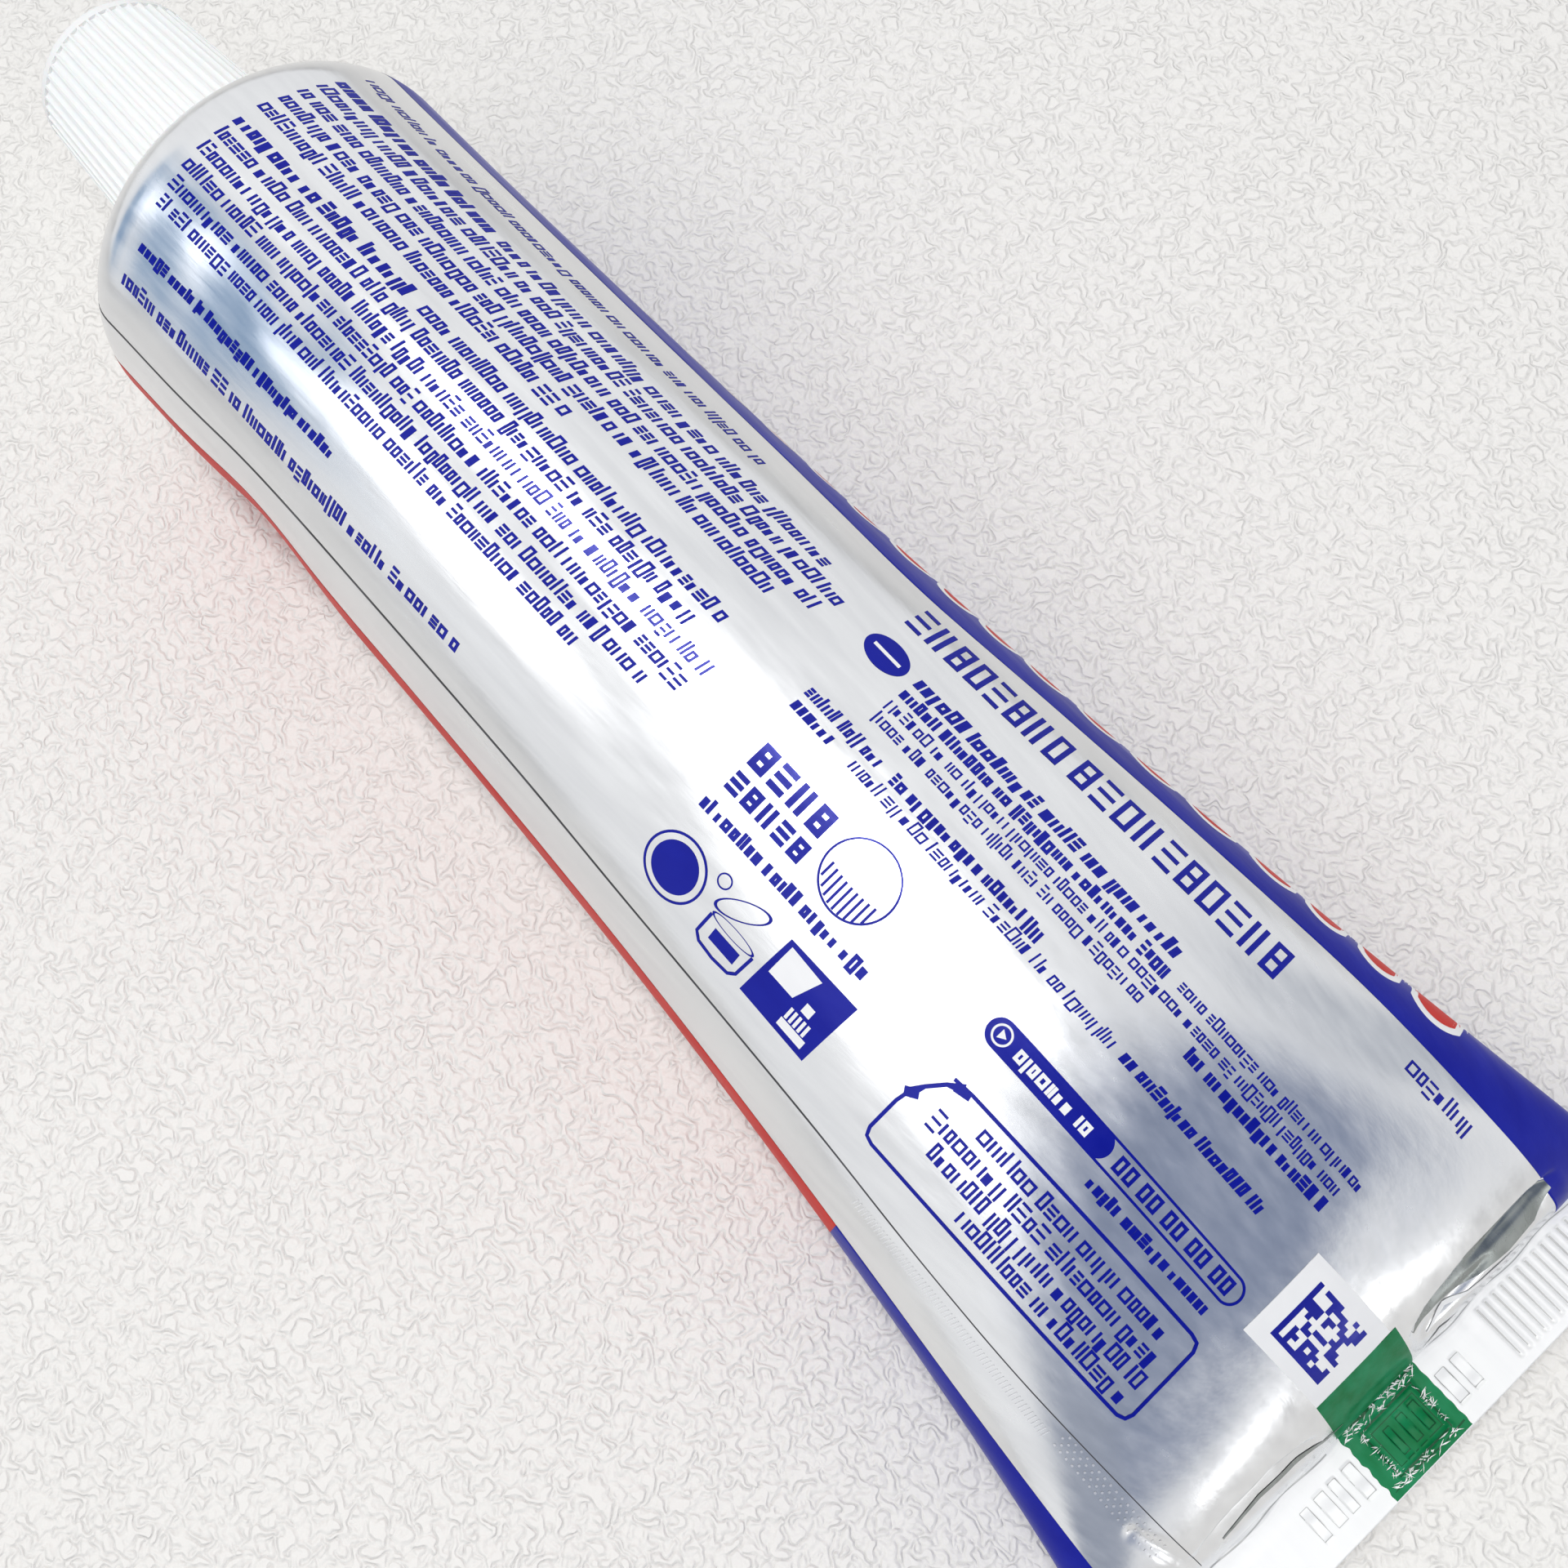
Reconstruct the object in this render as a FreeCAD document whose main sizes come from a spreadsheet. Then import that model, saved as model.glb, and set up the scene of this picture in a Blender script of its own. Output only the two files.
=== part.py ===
import FreeCAD, Part

import os

import Sketcher
from FreeCAD import Placement, Rotation, Vector

# A full laminate toothpaste tube that lies on its printed front, with its plain back up.
# The long axis runs along X: the cap points to -X and the flat end seal to +X. Z is up.
# The origin is on the table, under the middle of the whole tube, cap included.
# All sizes are millimetres.

SIZES = [
    ("tube_diameter", 35.0, "outside diameter of the round end of the sleeve"),
    ("sleeve_length", 127.0, "from the rim to the inner edge of the end seal"),
    ("seal_depth", 6.4, "depth of the flat end seal, along the tube"),
    ("seal_thickness", 0.7, "the two layers of laminate in the seal"),
    ("seal_lift", 1.2, "height of the seal's underside above the table"),
    ("seal_step", 0.05, "how far the sleeve's end lies inside the seal, above and below"),
    ("end_power", 2.5, "how late the full sleeve starts to flatten"),
    ("end_root", 0.5, "how bluntly it closes at the seal"),
    ("width_power", 1.7, "how its half width grows as its height goes, at one girth"),
    ("rim_sink", 0.1, "how far the stiff round end is pressed flat on the table"),
    ("belly_sink", 0.5, "how much further the soft middle of the sleeve is pressed flat"),
    ("rim_round", 5.0, "radius of the sleeve's end where it turns over the shoulder"),
    ("dent_radius", 40.0, "curvature of the finger dents near the shoulder"),
    ("dent_depth", 0.35, "depth of a finger dent"),
    ("pinch_depth", 0.8, "depth of the dent in the -Y side, behind the stiff round end"),
    ("pinch_place", 19.0, "from the rim to that dent's middle"),
    ("pinch_height", 13.0, "height of its middle above the table"),
    ("fold_length", 26.0, "length of the puckered fold in front of the seal"),
    ("fold_width", 9.0, "full width of the tool form of that fold"),
    ("fold_depth", 1.0, "depth of the fold"),
    ("fold_back", 5.5, "from the fold's middle to the seal"),
    ("fold_across", 14.0, "from the tube's middle line to the fold's middle"),
    ("rib_pitch", 0.9, "spacing of the pressed lines on the seal"),
    ("rib_width", 0.4, "width of one pressed line"),
    ("rib_depth", 0.12, "depth of one pressed line"),
    ("rib_count", 18, "number of pressed lines"),
    ("rib_margin", 0.9, "plain border around the pressed lines"),
    ("lip_gap", 0.3, "how far the moulded shoulder stays inside the sleeve's flat end"),
    ("shoulder_rise", 7.4, "from the sleeve's round end to the seat under the cap"),
    ("seat_radius", 10.0, "outside radius of the flat seat under the cap"),
    ("neck_radius", 5.9, "neck at the root of its thread"),
    ("neck_length", 14.0, "from the seat to the mouth"),
    ("nozzle_bore", 3.5, "radius of the outlet"),
    ("mouth_chamfer", 0.5, "bevel on the mouth's outer edge"),
    ("cap_length", 19.1, "from the cap's open end to its closed end"),
    ("cap_base_radius", 9.0, "over the ribs at the open end"),
    ("cap_end_radius", 7.7, "over the ribs at the closed end"),
    ("cap_edge_round", 0.8, "rounding of the closed end's edge"),
    ("cap_wall", 1.6, "thickness of the closed end"),
    ("cap_clearance", 0.3, "from the seat to the cap, and from the mouth to its stem"),
    ("thread_room", 0.85, "radial space between neck and cap, which the threads fill"),
    ("stem_radius", 4.5, "stem inside the cap that closes the mouth"),
    ("plug_clearance", 0.2, "radial clearance of the sealing plug in the outlet"),
    ("plug_length", 1.5, "how deep the sealing plug stands in the outlet"),
    ("flute_count", 48, "number of grooves between the ribs of the cap"),
    ("flute_radius", 0.42, "radius of one groove"),
    ("flute_depth", 0.3, "depth of one groove"),
    ("flute_stop", 1.2, "plain band between the grooves and the closed end"),
]

# Places of the sleeve's cross-sections, as shares of its length. They are closer together
# where it closes towards the seal.
STATIONS = [0.15, 0.3, 0.45, 0.58, 0.69, 0.78, 0.85, 0.9, 0.94, 0.97, 1]

# Finger dents: share of the sleeve's length, and share of its half width from the middle.
DENTS = [(0.08, 0.12), (0.14, -0.2), (0.18, 0.28)]

ACROSS = Rotation(Vector(1, 1, 1), 120)
TOWARDS_CAP = Rotation(Vector(0, 1, 0), -90)
FOLD_TURN = Rotation(Vector(0, 0, 1), 6) * Rotation(Vector(1, 0, 0), -14)
TABLE_DEPTH = 5.0
OVERLAP = 0.3

doc = FreeCAD.newDocument("toothpaste_tube")
sheet = doc.addObject("Spreadsheet::Sheet", "Sizes")
for row, (alias, value, note) in enumerate(SIZES, 1):
    sheet.set(f"A{row}", alias)
    sheet.set(f"B{row}", str(value))
    sheet.set(f"C{row}", note)
    sheet.setAlias(f"B{row}", alias)
doc.recompute()

RADIUS = "(Sizes.tube_diameter / 2)"
AXIS_HEIGHT = f"({RADIUS} - Sizes.rim_sink)"
END_HALF = "(Sizes.seal_thickness / 2 - Sizes.seal_step)"
SEAL_WIDTH = f"({RADIUS} * pi)"
CAP_START = "(Sizes.shoulder_rise + Sizes.cap_clearance)"
CAP_REACH = f"({CAP_START} + Sizes.cap_length)"
SHOULDER_X = f"(({CAP_REACH} - Sizes.sleeve_length - Sizes.seal_depth) / 2)"
SEAL_X = f"({SHOULDER_X} + Sizes.sleeve_length)"
SEAL_TOP = "(Sizes.seal_lift + Sizes.seal_thickness)"
CAP_BORE = "(Sizes.neck_radius + Sizes.thread_room)"
CAP_SLOPE = "((Sizes.cap_base_radius - Sizes.cap_end_radius) / Sizes.cap_length)"


def evaluate(expression):
    """The present value of an expression on the sheet."""
    return float(sheet.evalExpression(expression.replace("Sizes.", "")))


def bind(thing, **expressions):
    """Ties properties to the sheet. A double underscore in a name stands for a dot."""
    for name, expression in expressions.items():
        thing.setExpression(name.replace("__", "."), expression)


def half_height(share):
    """Half the sleeve's height at a share of its length: round first, then closing."""
    full = f"(1 - {share} ^ Sizes.end_power) ^ Sizes.end_root"
    return f"({END_HALF} + ({RADIUS} - {END_HALF}) * {full})"


def half_width(share):
    """Half its width there, from the girth that the sheet keeps as it flattens."""
    rounded = f"({half_height(share)} / {RADIUS}) ^ Sizes.width_power"
    return f"({RADIUS} * (pi / 2 - (pi / 2 - 1) * {rounded}))"


def middle_height(share):
    """Height of the section's middle: pressed into the table, and lifted at the seal."""
    pressed = f"Sizes.rim_sink + Sizes.belly_sink * 4 * {share} * (1 - {share})"
    lifted = f"(Sizes.rim_sink + Sizes.seal_lift + Sizes.seal_step) * {share} ^ 8"
    return f"({half_height(share)} - ({pressed}) + {lifted})"


def top_height(share, across):
    """Height of the sleeve's upper side at a distance from its middle line."""
    aside = f"({across}) / {half_width(share)}"
    return f"({middle_height(share)} + {half_height(share)} * sqrt(1 - ({aside}) ^ 2))"


def origin_feature(body, role):
    """One of a body's own origin planes or axes."""
    return next(feature for feature in body.Origin.OriginFeatures if feature.Role == role)


def new_body(name):
    """A body laid along the tube: its own Z points at the cap, from the round end on."""
    body = doc.addObject("PartDesign::Body", name)
    body.Placement = Placement(Vector(), TOWARDS_CAP)
    bind(body, Placement__Base__x=SHOULDER_X, Placement__Base__z=AXIS_HEIGHT)
    return body


def new_sketch(body, name, role, height=None):
    """A sketch on one of its body's origin planes, or at a height above it."""
    sketch = body.newObject("Sketcher::SketchObject", name)
    sketch.AttachmentSupport = [(origin_feature(body, role), "")]
    sketch.MapMode = "FlatFace"
    if height:
        bind(sketch, AttachmentOffset__Base__z=height)
    return sketch


def constrain(sketch, *facts):
    """Adds one constraint and returns its number."""
    return sketch.addConstraint(Sketcher.Constraint(*facts))


def place_point(sketch, line, end, x, y):
    """Fixes one end of a line by its distances from the sketch's origin."""
    for kind, expression, zero_axis in (("DistanceX", x, -2), ("DistanceY", y, -1)):
        if expression == "0":
            constrain(sketch, "PointOnObject", line, end, zero_axis)
        else:
            number = constrain(sketch, kind, -1, 1, line, end, evaluate(expression))
            sketch.setExpression(f"Constraints[{number}]", expression)


def add_outline(sketch, corners):
    """A closed outline of straight lines. Its corners are pairs of expressions."""
    points = [Vector(evaluate(x), evaluate(y), 0) for x, y in corners]
    count = len(points)
    for number, point in enumerate(points):
        sketch.addGeometry(Part.LineSegment(point, points[(number + 1) % count]))
    for number, (x, y) in enumerate(corners):
        constrain(sketch, "Coincident", number, 2, (number + 1) % count, 1)
        place_point(sketch, number, 1, x, y)


def add_circle(sketch, radius, x, y="0"):
    """A circle at a place given by expressions."""
    place = Vector(evaluate(x), evaluate(y), 0)
    sketch.addGeometry(Part.Circle(place, Vector(0, 0, 1), evaluate(radius)))
    place_point(sketch, 0, 3, x, y)
    number = constrain(sketch, "Radius", 0, evaluate(radius))
    sketch.setExpression(f"Constraints[{number}]", radius)


def revolve(body, sketch, name):
    """Turns a sketch on the XZ plane once round the body's Z axis."""
    solid = body.newObject("PartDesign::Revolution", name)
    solid.Profile = sketch
    solid.ReferenceAxis = (sketch, ["V_Axis"])
    solid.Angle = 360
    return solid


def ring_edge(feature, radius, height):
    """Name of the circular edge of a feature at a radius and height."""
    for number, edge in enumerate(feature.Shape.Edges, 1):
        curve = edge.Curve
        if not isinstance(curve, Part.Circle):
            continue
        if abs(curve.Radius - radius) < 0.01 and abs(curve.Center.z - height) < 0.01:
            return f"Edge{number}"
    raise RuntimeError("the edge to round is missing")


def front_edge(shape):
    """Number of the edge that lies nearest the cap."""
    middles = [edge.BoundBox.Center.x for edge in shape.Edges]
    return middles.index(min(middles)) + 1


def cut(name, base, tool):
    """A solid less another."""
    result = doc.addObject("Part::Cut", name)
    result.Base = base
    result.Tool = tool
    return result


# The full sleeve, from its round end to its flat seal
sections = []
for name, before in (("round_front", "Sizes.rim_round"), ("round_end", "0")):
    section = doc.addObject("Part::Circle", name)
    section.Placement = Placement(Vector(), ACROSS)
    bind(
        section,
        Radius=RADIUS,
        Placement__Base__x=f"{SHOULDER_X} - {before}",
        Placement__Base__z=AXIS_HEIGHT,
    )
    sections.append(section)
for number, share in enumerate(STATIONS, 1):
    section = doc.addObject("Part::Ellipse", f"section_{number}")
    section.Placement = Placement(Vector(), ACROSS)
    bind(
        section,
        MajorRadius=half_width(share),
        MinorRadius=half_height(share),
        Placement__Base__x=f"{SHOULDER_X} + Sizes.sleeve_length * {share}",
        Placement__Base__z=middle_height(share),
    )
    sections.append(section)
sharp_sleeve = doc.addObject("Part::Loft", "sharp_sleeve")
sharp_sleeve.Sections = sections
sharp_sleeve.Solid = True
sharp_sleeve.Ruled = False
doc.recompute()

# The rounded rim, where the sleeve turns over the moulded shoulder
full_sleeve = doc.addObject("Part::Fillet", "full_sleeve")
full_sleeve.Base = sharp_sleeve
rim_radius = evaluate("Sizes.rim_round")
full_sleeve.Edges = [(front_edge(sharp_sleeve.Shape), rim_radius, rim_radius)]

# What the sleeve's weight presses flat, below the table's top
table = doc.addObject("Part::Box", "table")
table.Height = TABLE_DEPTH
table.Placement = Placement(Vector(0, 0, -TABLE_DEPTH), Rotation())
bind(
    table,
    Length="Sizes.rim_round + Sizes.sleeve_length + Sizes.seal_depth",
    Width=f"{SEAL_WIDTH} * 2",
    Placement__Base__x=f"{SHOULDER_X} - Sizes.rim_round",
    Placement__Base__y=f"-{SEAL_WIDTH}",
)
rested_sleeve = cut("rested_sleeve", full_sleeve, table)

# The flat seal that closes the sleeve
seal = doc.addObject("Part::Box", "seal")
bind(
    seal,
    Length="Sizes.seal_depth",
    Width=SEAL_WIDTH,
    Height="Sizes.seal_thickness",
    Placement__Base__x=SEAL_X,
    Placement__Base__y=f"-{SEAL_WIDTH} / 2",
    Placement__Base__z="Sizes.seal_lift",
)
whole_sleeve = doc.addObject("Part::Fuse", "whole_sleeve")
whole_sleeve.Base = rested_sleeve
whole_sleeve.Tool = seal

# Dents behind the stiff round end: three in the top, one in the side
dents = []
for number, (share, aside) in enumerate(DENTS, 1):
    dent = doc.addObject("Part::Sphere", f"dent_{number}")
    dent.Placement = Placement(Vector(), TOWARDS_CAP)
    across = f"({aside} * {half_width(share)})"
    bind(
        dent,
        Radius="Sizes.dent_radius",
        Placement__Base__x=f"{SHOULDER_X} + Sizes.sleeve_length * {share}",
        Placement__Base__y=across,
        Placement__Base__z=f"{top_height(share, across)} + Sizes.dent_radius - Sizes.dent_depth",
    )
    dents.append(dent)
pinch_share = "(Sizes.pinch_place / Sizes.sleeve_length)"
pinch = doc.addObject("Part::Sphere", "pinch")
pinch.Placement = Placement(Vector(), TOWARDS_CAP)
bind(
    pinch,
    Radius="Sizes.dent_radius",
    Placement__Base__x=f"{SHOULDER_X} + Sizes.pinch_place",
    Placement__Base__y=f"Sizes.pinch_depth - Sizes.dent_radius - {half_width(pinch_share)}",
    Placement__Base__z="Sizes.pinch_height",
)
dents.append(pinch)
sleeve = whole_sleeve
for number, dent in enumerate(dents, 1):
    sleeve = cut(f"dented_{number}", sleeve, dent)

# The puckered fold in front of the seal
fold_share = "(1 - Sizes.fold_back / Sizes.sleeve_length)"
fold = doc.addObject("Part::Ellipsoid", "fold")
fold.Placement = Placement(Vector(), FOLD_TURN * ACROSS.inverted())
bind(
    fold,
    Radius1="Sizes.fold_length / 2",
    Radius2="Sizes.fold_width / 2",
    Radius3="Sizes.fold_width / 2",
    Placement__Base__x=f"{SEAL_X} - Sizes.fold_back",
    Placement__Base__y="Sizes.fold_across",
    Placement__Base__z=(
        f"{top_height(fold_share, 'Sizes.fold_across')} + Sizes.fold_width / 2 - Sizes.fold_depth"
    ),
)
sleeve = cut("folded", sleeve, fold)

# The pressed lines, which run along the tube from near the seal's +Y corner
lines = []
for number in range(int(evaluate("Sizes.rib_count"))):
    line = doc.addObject("Part::Box", f"line_{number + 1}")
    start = f"{SEAL_WIDTH} / 2 - Sizes.rib_margin - Sizes.rib_width - Sizes.rib_pitch * {number}"
    bind(
        line,
        Length="Sizes.seal_depth - Sizes.rib_margin * 2",
        Width="Sizes.rib_width",
        Height="Sizes.rib_depth * 2",
        Placement__Base__x=f"{SEAL_X} + Sizes.rib_margin",
        Placement__Base__y=start,
        Placement__Base__z=f"{SEAL_TOP} - Sizes.rib_depth",
    )
    lines.append(line)
line_group = doc.addObject("Part::Compound", "line_group")
line_group.Links = lines
tube_body = cut("tube_body", sleeve, line_group)

# The moulded shoulder with its neck and outlet
shoulder_nozzle = new_body("shoulder_nozzle")
shoulder_sketch = new_sketch(shoulder_nozzle, "shoulder_outline", "XZ_Plane")
NECK_TOP = "(Sizes.shoulder_rise + Sizes.neck_length)"
add_outline(
    shoulder_sketch,
    [
        ("Sizes.nozzle_bore", "Sizes.rim_round"),
        (f"{RADIUS} - Sizes.rim_round - Sizes.lip_gap", "Sizes.rim_round"),
        ("Sizes.seat_radius", "Sizes.shoulder_rise"),
        ("Sizes.neck_radius", "Sizes.shoulder_rise"),
        ("Sizes.neck_radius", f"{NECK_TOP} - Sizes.mouth_chamfer"),
        ("Sizes.neck_radius - Sizes.mouth_chamfer", NECK_TOP),
        ("Sizes.nozzle_bore", NECK_TOP),
    ],
)
revolve(shoulder_nozzle, shoulder_sketch, "shoulder_turned")

# The cap: a tapered shell, with a stem and plug that close the outlet
screw_cap = new_body("screw_cap")
cap_sketch = new_sketch(screw_cap, "cap_outline", "XZ_Plane")
STEM_END = f"({NECK_TOP} + Sizes.cap_clearance)"
PLUG_RADIUS = "(Sizes.nozzle_bore - Sizes.plug_clearance)"
PLUG_END = f"({NECK_TOP} - Sizes.plug_length)"
add_outline(
    cap_sketch,
    [
        (CAP_BORE, CAP_START),
        ("Sizes.cap_base_radius", CAP_START),
        ("Sizes.cap_end_radius", CAP_REACH),
        ("0", CAP_REACH),
        ("0", PLUG_END),
        (PLUG_RADIUS, PLUG_END),
        (PLUG_RADIUS, STEM_END),
        ("Sizes.stem_radius", STEM_END),
        ("Sizes.stem_radius", f"{CAP_REACH} - Sizes.cap_wall"),
        (CAP_BORE, f"{CAP_REACH} - Sizes.cap_wall"),
    ],
)
cap_shell = revolve(screw_cap, cap_sketch, "cap_shell")
doc.recompute()
cap_edge = screw_cap.newObject("PartDesign::Fillet", "cap_edge")
closed_edge = ring_edge(cap_shell, evaluate("Sizes.cap_end_radius"), evaluate(CAP_REACH))
cap_edge.Base = (cap_shell, [closed_edge])
bind(cap_edge, Radius="Sizes.cap_edge_round")

# One groove along the cap's taper, then all round
FLUTE_START = f"({CAP_START} - {OVERLAP})"
FLUTE_END = f"({CAP_REACH} - Sizes.flute_stop)"
FLUTE_OUT = "(Sizes.flute_radius - Sizes.flute_depth)"
start_radius = f"Sizes.cap_base_radius + {FLUTE_OUT} + {CAP_SLOPE} * {OVERLAP}"
end_radius = f"Sizes.cap_end_radius + {FLUTE_OUT} + {CAP_SLOPE} * Sizes.flute_stop"
flute_starts = new_sketch(screw_cap, "flute_starts", "XY_Plane", FLUTE_START)
add_circle(flute_starts, "Sizes.flute_radius", start_radius)
flute_ends = new_sketch(screw_cap, "flute_ends", "XY_Plane", FLUTE_END)
add_circle(flute_ends, "Sizes.flute_radius", end_radius)
flute = screw_cap.newObject("PartDesign::SubtractiveLoft", "flute")
flute.Profile = flute_starts
flute.Sections = [flute_ends]
flutes = screw_cap.newObject("PartDesign::PolarPattern", "flutes")
flutes.Originals = [flute]
flutes.Axis = (origin_feature(screw_cap, "Z_Axis"), [""])
flutes.Angle = 360
bind(flutes, Occurrences="Sizes.flute_count")
screw_cap.Tip = flutes
doc.recompute()

if flutes.Shape.Volume >= cap_edge.Shape.Volume - 1:
    raise RuntimeError("the grooves cut nothing")

for item in doc.Objects:
    if "Invalid" in item.State or "Error" in item.State:
        raise RuntimeError(f"{item.Name} failed to build")

os.makedirs("parts", exist_ok=True)
for node in (tube_body, shoulder_nozzle, screw_cap):
    node.Label = node.Name
    if node.Shape.isNull() or not node.Shape.isValid() or len(node.Shape.Solids) != 1:
        raise RuntimeError(f"{node.Label} is not one sound solid")
    node.Shape.exportStep(f"parts/{node.Label}.step")
    box = node.Shape.BoundBox
    print(node.Label, round(node.Shape.Volume / 1000, 3), "ml,", box)
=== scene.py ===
import math
import random

import bpy
import numpy as np
from mathutils import Matrix, Vector


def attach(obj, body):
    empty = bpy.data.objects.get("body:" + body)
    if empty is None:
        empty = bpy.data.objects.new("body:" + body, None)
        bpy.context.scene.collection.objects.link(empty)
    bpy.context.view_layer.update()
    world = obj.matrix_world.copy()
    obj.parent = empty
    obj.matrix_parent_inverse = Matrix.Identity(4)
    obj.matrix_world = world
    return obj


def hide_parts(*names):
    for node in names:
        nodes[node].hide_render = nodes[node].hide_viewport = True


# Looks for a full laminate toothpaste tube that lies with its back up.
# Points are millimetres in the CAD frame until a mesh is made. A print point is (x, u):
# x along the tube, u round the girth from the top middle line, positive towards +Y.

MM = 0.001
RADIUS = 17.5
FRONT_X = -58.3
ROUND_X = -53.3
RIM_ROUND = 5.0
SEAL_X = 73.7
SEAL_END_X = 80.1
SLEEVE_LENGTH = SEAL_X - ROUND_X
HALF_GIRTH = math.pi * RADIUS
SEAL_HALF_WIDTH = math.pi * RADIUS / 2
SEAL_BOTTOM = 1.2
SEAL_TOP = 1.9
END_HALF = 0.3
RIM_SINK = 0.1
BELLY_SINK = 0.5
END_LIFT = 1.35
AXIS_HEIGHT = RADIUS - RIM_SINK
SKIN_INSET = 0.06

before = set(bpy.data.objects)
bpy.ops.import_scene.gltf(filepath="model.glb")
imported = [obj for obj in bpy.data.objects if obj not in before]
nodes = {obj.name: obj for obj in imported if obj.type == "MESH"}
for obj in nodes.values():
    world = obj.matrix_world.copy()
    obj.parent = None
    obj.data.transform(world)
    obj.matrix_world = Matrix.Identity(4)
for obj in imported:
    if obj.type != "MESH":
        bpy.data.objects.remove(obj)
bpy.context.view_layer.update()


# shape of the sleeve
def section_size(x):
    """Half height, half width and middle height of the sleeve's section at x."""
    share = np.clip((x - ROUND_X) / SLEEVE_LENGTH, 0, 1)
    half_height = END_HALF + (RADIUS - END_HALF) * np.sqrt(1 - share**2.5)
    flat = (half_height / RADIUS) ** 1.7
    half_width = RADIUS * (math.pi / 2 - (math.pi / 2 - 1) * flat)
    pressed = RIM_SINK + BELLY_SINK * 4 * share * (1 - share)
    middle = half_height - pressed + END_LIFT * share**8
    back = np.clip(ROUND_X - x, 0, RIM_ROUND)
    shrink = (RADIUS - RIM_ROUND + np.sqrt(RIM_ROUND**2 - back**2)) / RADIUS
    return half_height * shrink, half_width * shrink, middle


PHI = np.linspace(-math.pi, math.pi, 721)


def sleeve_points(x, u):
    """Points of the plain sleeve at print points."""
    x = np.asarray(x, float).ravel()
    u = np.asarray(u, float).ravel()
    out = np.empty((len(x), 3))
    places, which = np.unique(x, return_inverse=True)
    order = np.argsort(which, kind="stable")
    ends = np.searchsorted(which[order], np.arange(len(places) + 1))
    for number, place in enumerate(places):
        half_height, half_width, middle = section_size(place)
        y = half_width * np.sin(PHI)
        z = np.maximum(middle + half_height * np.cos(PHI), 0)
        arc = np.concatenate([[0], np.cumsum(np.hypot(np.diff(y), np.diff(z)))])
        arc = (arc - arc[360]) * HALF_GIRTH / (arc[-1] - arc[360])
        mine = order[ends[number]:ends[number + 1]]
        out[mine, 0] = place
        out[mine, 1] = np.interp(u[mine], arc, y)
        out[mine, 2] = np.interp(u[mine], arc, z)
    return out


WAVES = 7


def bump_noise(x, u, seed, size):
    """A smooth field of values from -1 to 1 over print points, closed round the girth."""
    dice = random.Random(seed)
    total = np.zeros_like(x)
    for _ in range(WAVES):
        along = dice.uniform(0.6, 1.6) / size
        turns = dice.randint(1, max(2, int(2 * HALF_GIRTH / size / 2)))
        total += np.sin(along * x + dice.uniform(0, 6.28) + 0.8 * np.sin(turns * u / RADIUS * 0.5))
        total += np.sin(turns * u / RADIUS + dice.uniform(0, 6.28) + 0.5 * np.sin(along * x))
    return total / (2 * WAVES)


def soft_bowl(x, u, centre, size, depth):
    """A smooth round dent: how deep it is at each point."""
    far = ((x - centre[0]) / size[0]) ** 2 + ((u - centre[1]) / size[1]) ** 2
    return depth * np.exp(-far * 1.6)


def dent_depth(x, u):
    """How far the laminate lies under the plain sleeve, in millimetres."""
    depth = SKIN_INSET + 0.0 * x
    for centre, size, deep in DENTS:
        depth += soft_bowl(x, u, centre, size, deep)
    ease = np.clip((x - ROUND_X) / 12, 0, 1) * np.clip((SEAL_X - x) / 3, 0, 1)
    rest = np.clip((HALF_GIRTH - np.abs(u)) / 20, 0, 1)
    depth += ease * rest * 0.09 * (1 + bump_noise(x, u, 3, 9.0))
    for start, end, wide, deep in CREASES:
        depth += ease * crease(x, u, start, end, wide, deep)
    for line, deep, wide in TUCKS:
        depth += np.clip((SEAL_X - 0.2 - x) / 1.5, 0, 1) * tuck(x, u, line, deep, wide)
    return depth


def crease(x, u, start, end, wide, deep):
    """A narrow valley along a line between two print points."""
    start, end = np.array(start), np.array(end)
    way = end - start
    share = np.clip(((x - start[0]) * way[0] + (u - start[1]) * way[1]) / (way @ way), 0, 1)
    off = np.hypot(x - start[0] - share * way[0], u - start[1] - share * way[1])
    fade = 0.45 + 0.55 * np.sin(math.pi * np.clip(share, 0.08, 0.92))
    return deep * np.exp(-((off / wide) ** 2)) * fade


def tuck(x, u, line, deep, wide):
    """A fold of the laminate: a sharp step down along a line, then a facet that rises again."""
    places, sides = zip(*line)
    order = np.argsort(sides)
    sides = np.array(sides)[order]
    middle = np.interp(u, sides, np.array(places)[order])
    window = np.clip((u - sides[0]) / 3.5, 0, 1) * np.clip((sides[-1] - u) / 2.5, 0, 1)
    off = x - middle
    fall = np.clip(1 + off / 0.55, 0, 1)
    fall = fall * fall * (3 - 2 * fall)
    rise = np.clip(1 - off / wide, 0, 1)
    return deep * window**0.7 * np.where(off < 0, fall, rise)


# each tuck: its line in print points, how deep and how wide
TUCKS = [
    ([(71.3, 4.6), (70.5, 7.0), (70.0, 12.0), (70.1, 18.0), (70.5, 21.5)], 1.1, 2.4),
    ([(71.4, -5.0), (70.8, -9.0), (71.0, -14.0), (71.6, -18.0)], 0.6, 1.9),
]
# each dent: its middle, its size along and round the tube, and its depth
DENTS = [
    ((-43.1, 2.1), (6.5, 4.0), 0.35),
    ((-35.5, -3.5), (6.5, 4.0), 0.35),
    ((-30.4, 4.9), (6.5, 4.0), 0.35),
    ((-51.0, -11.0), (3.6, 6.5), 0.3),
    ((-44.0, -9.0), (6.0, 5.5), 0.45),
    ((-34.3, -29.0), (9.0, 9.0), 0.8),
    ((64.0, 9.0), (5.0, 8.0), 0.25),
    ((63.0, -11.0), (5.0, 7.0), 0.25),
    ((52.0, 3.0), (7.0, 9.0), 0.3),
]
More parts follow.
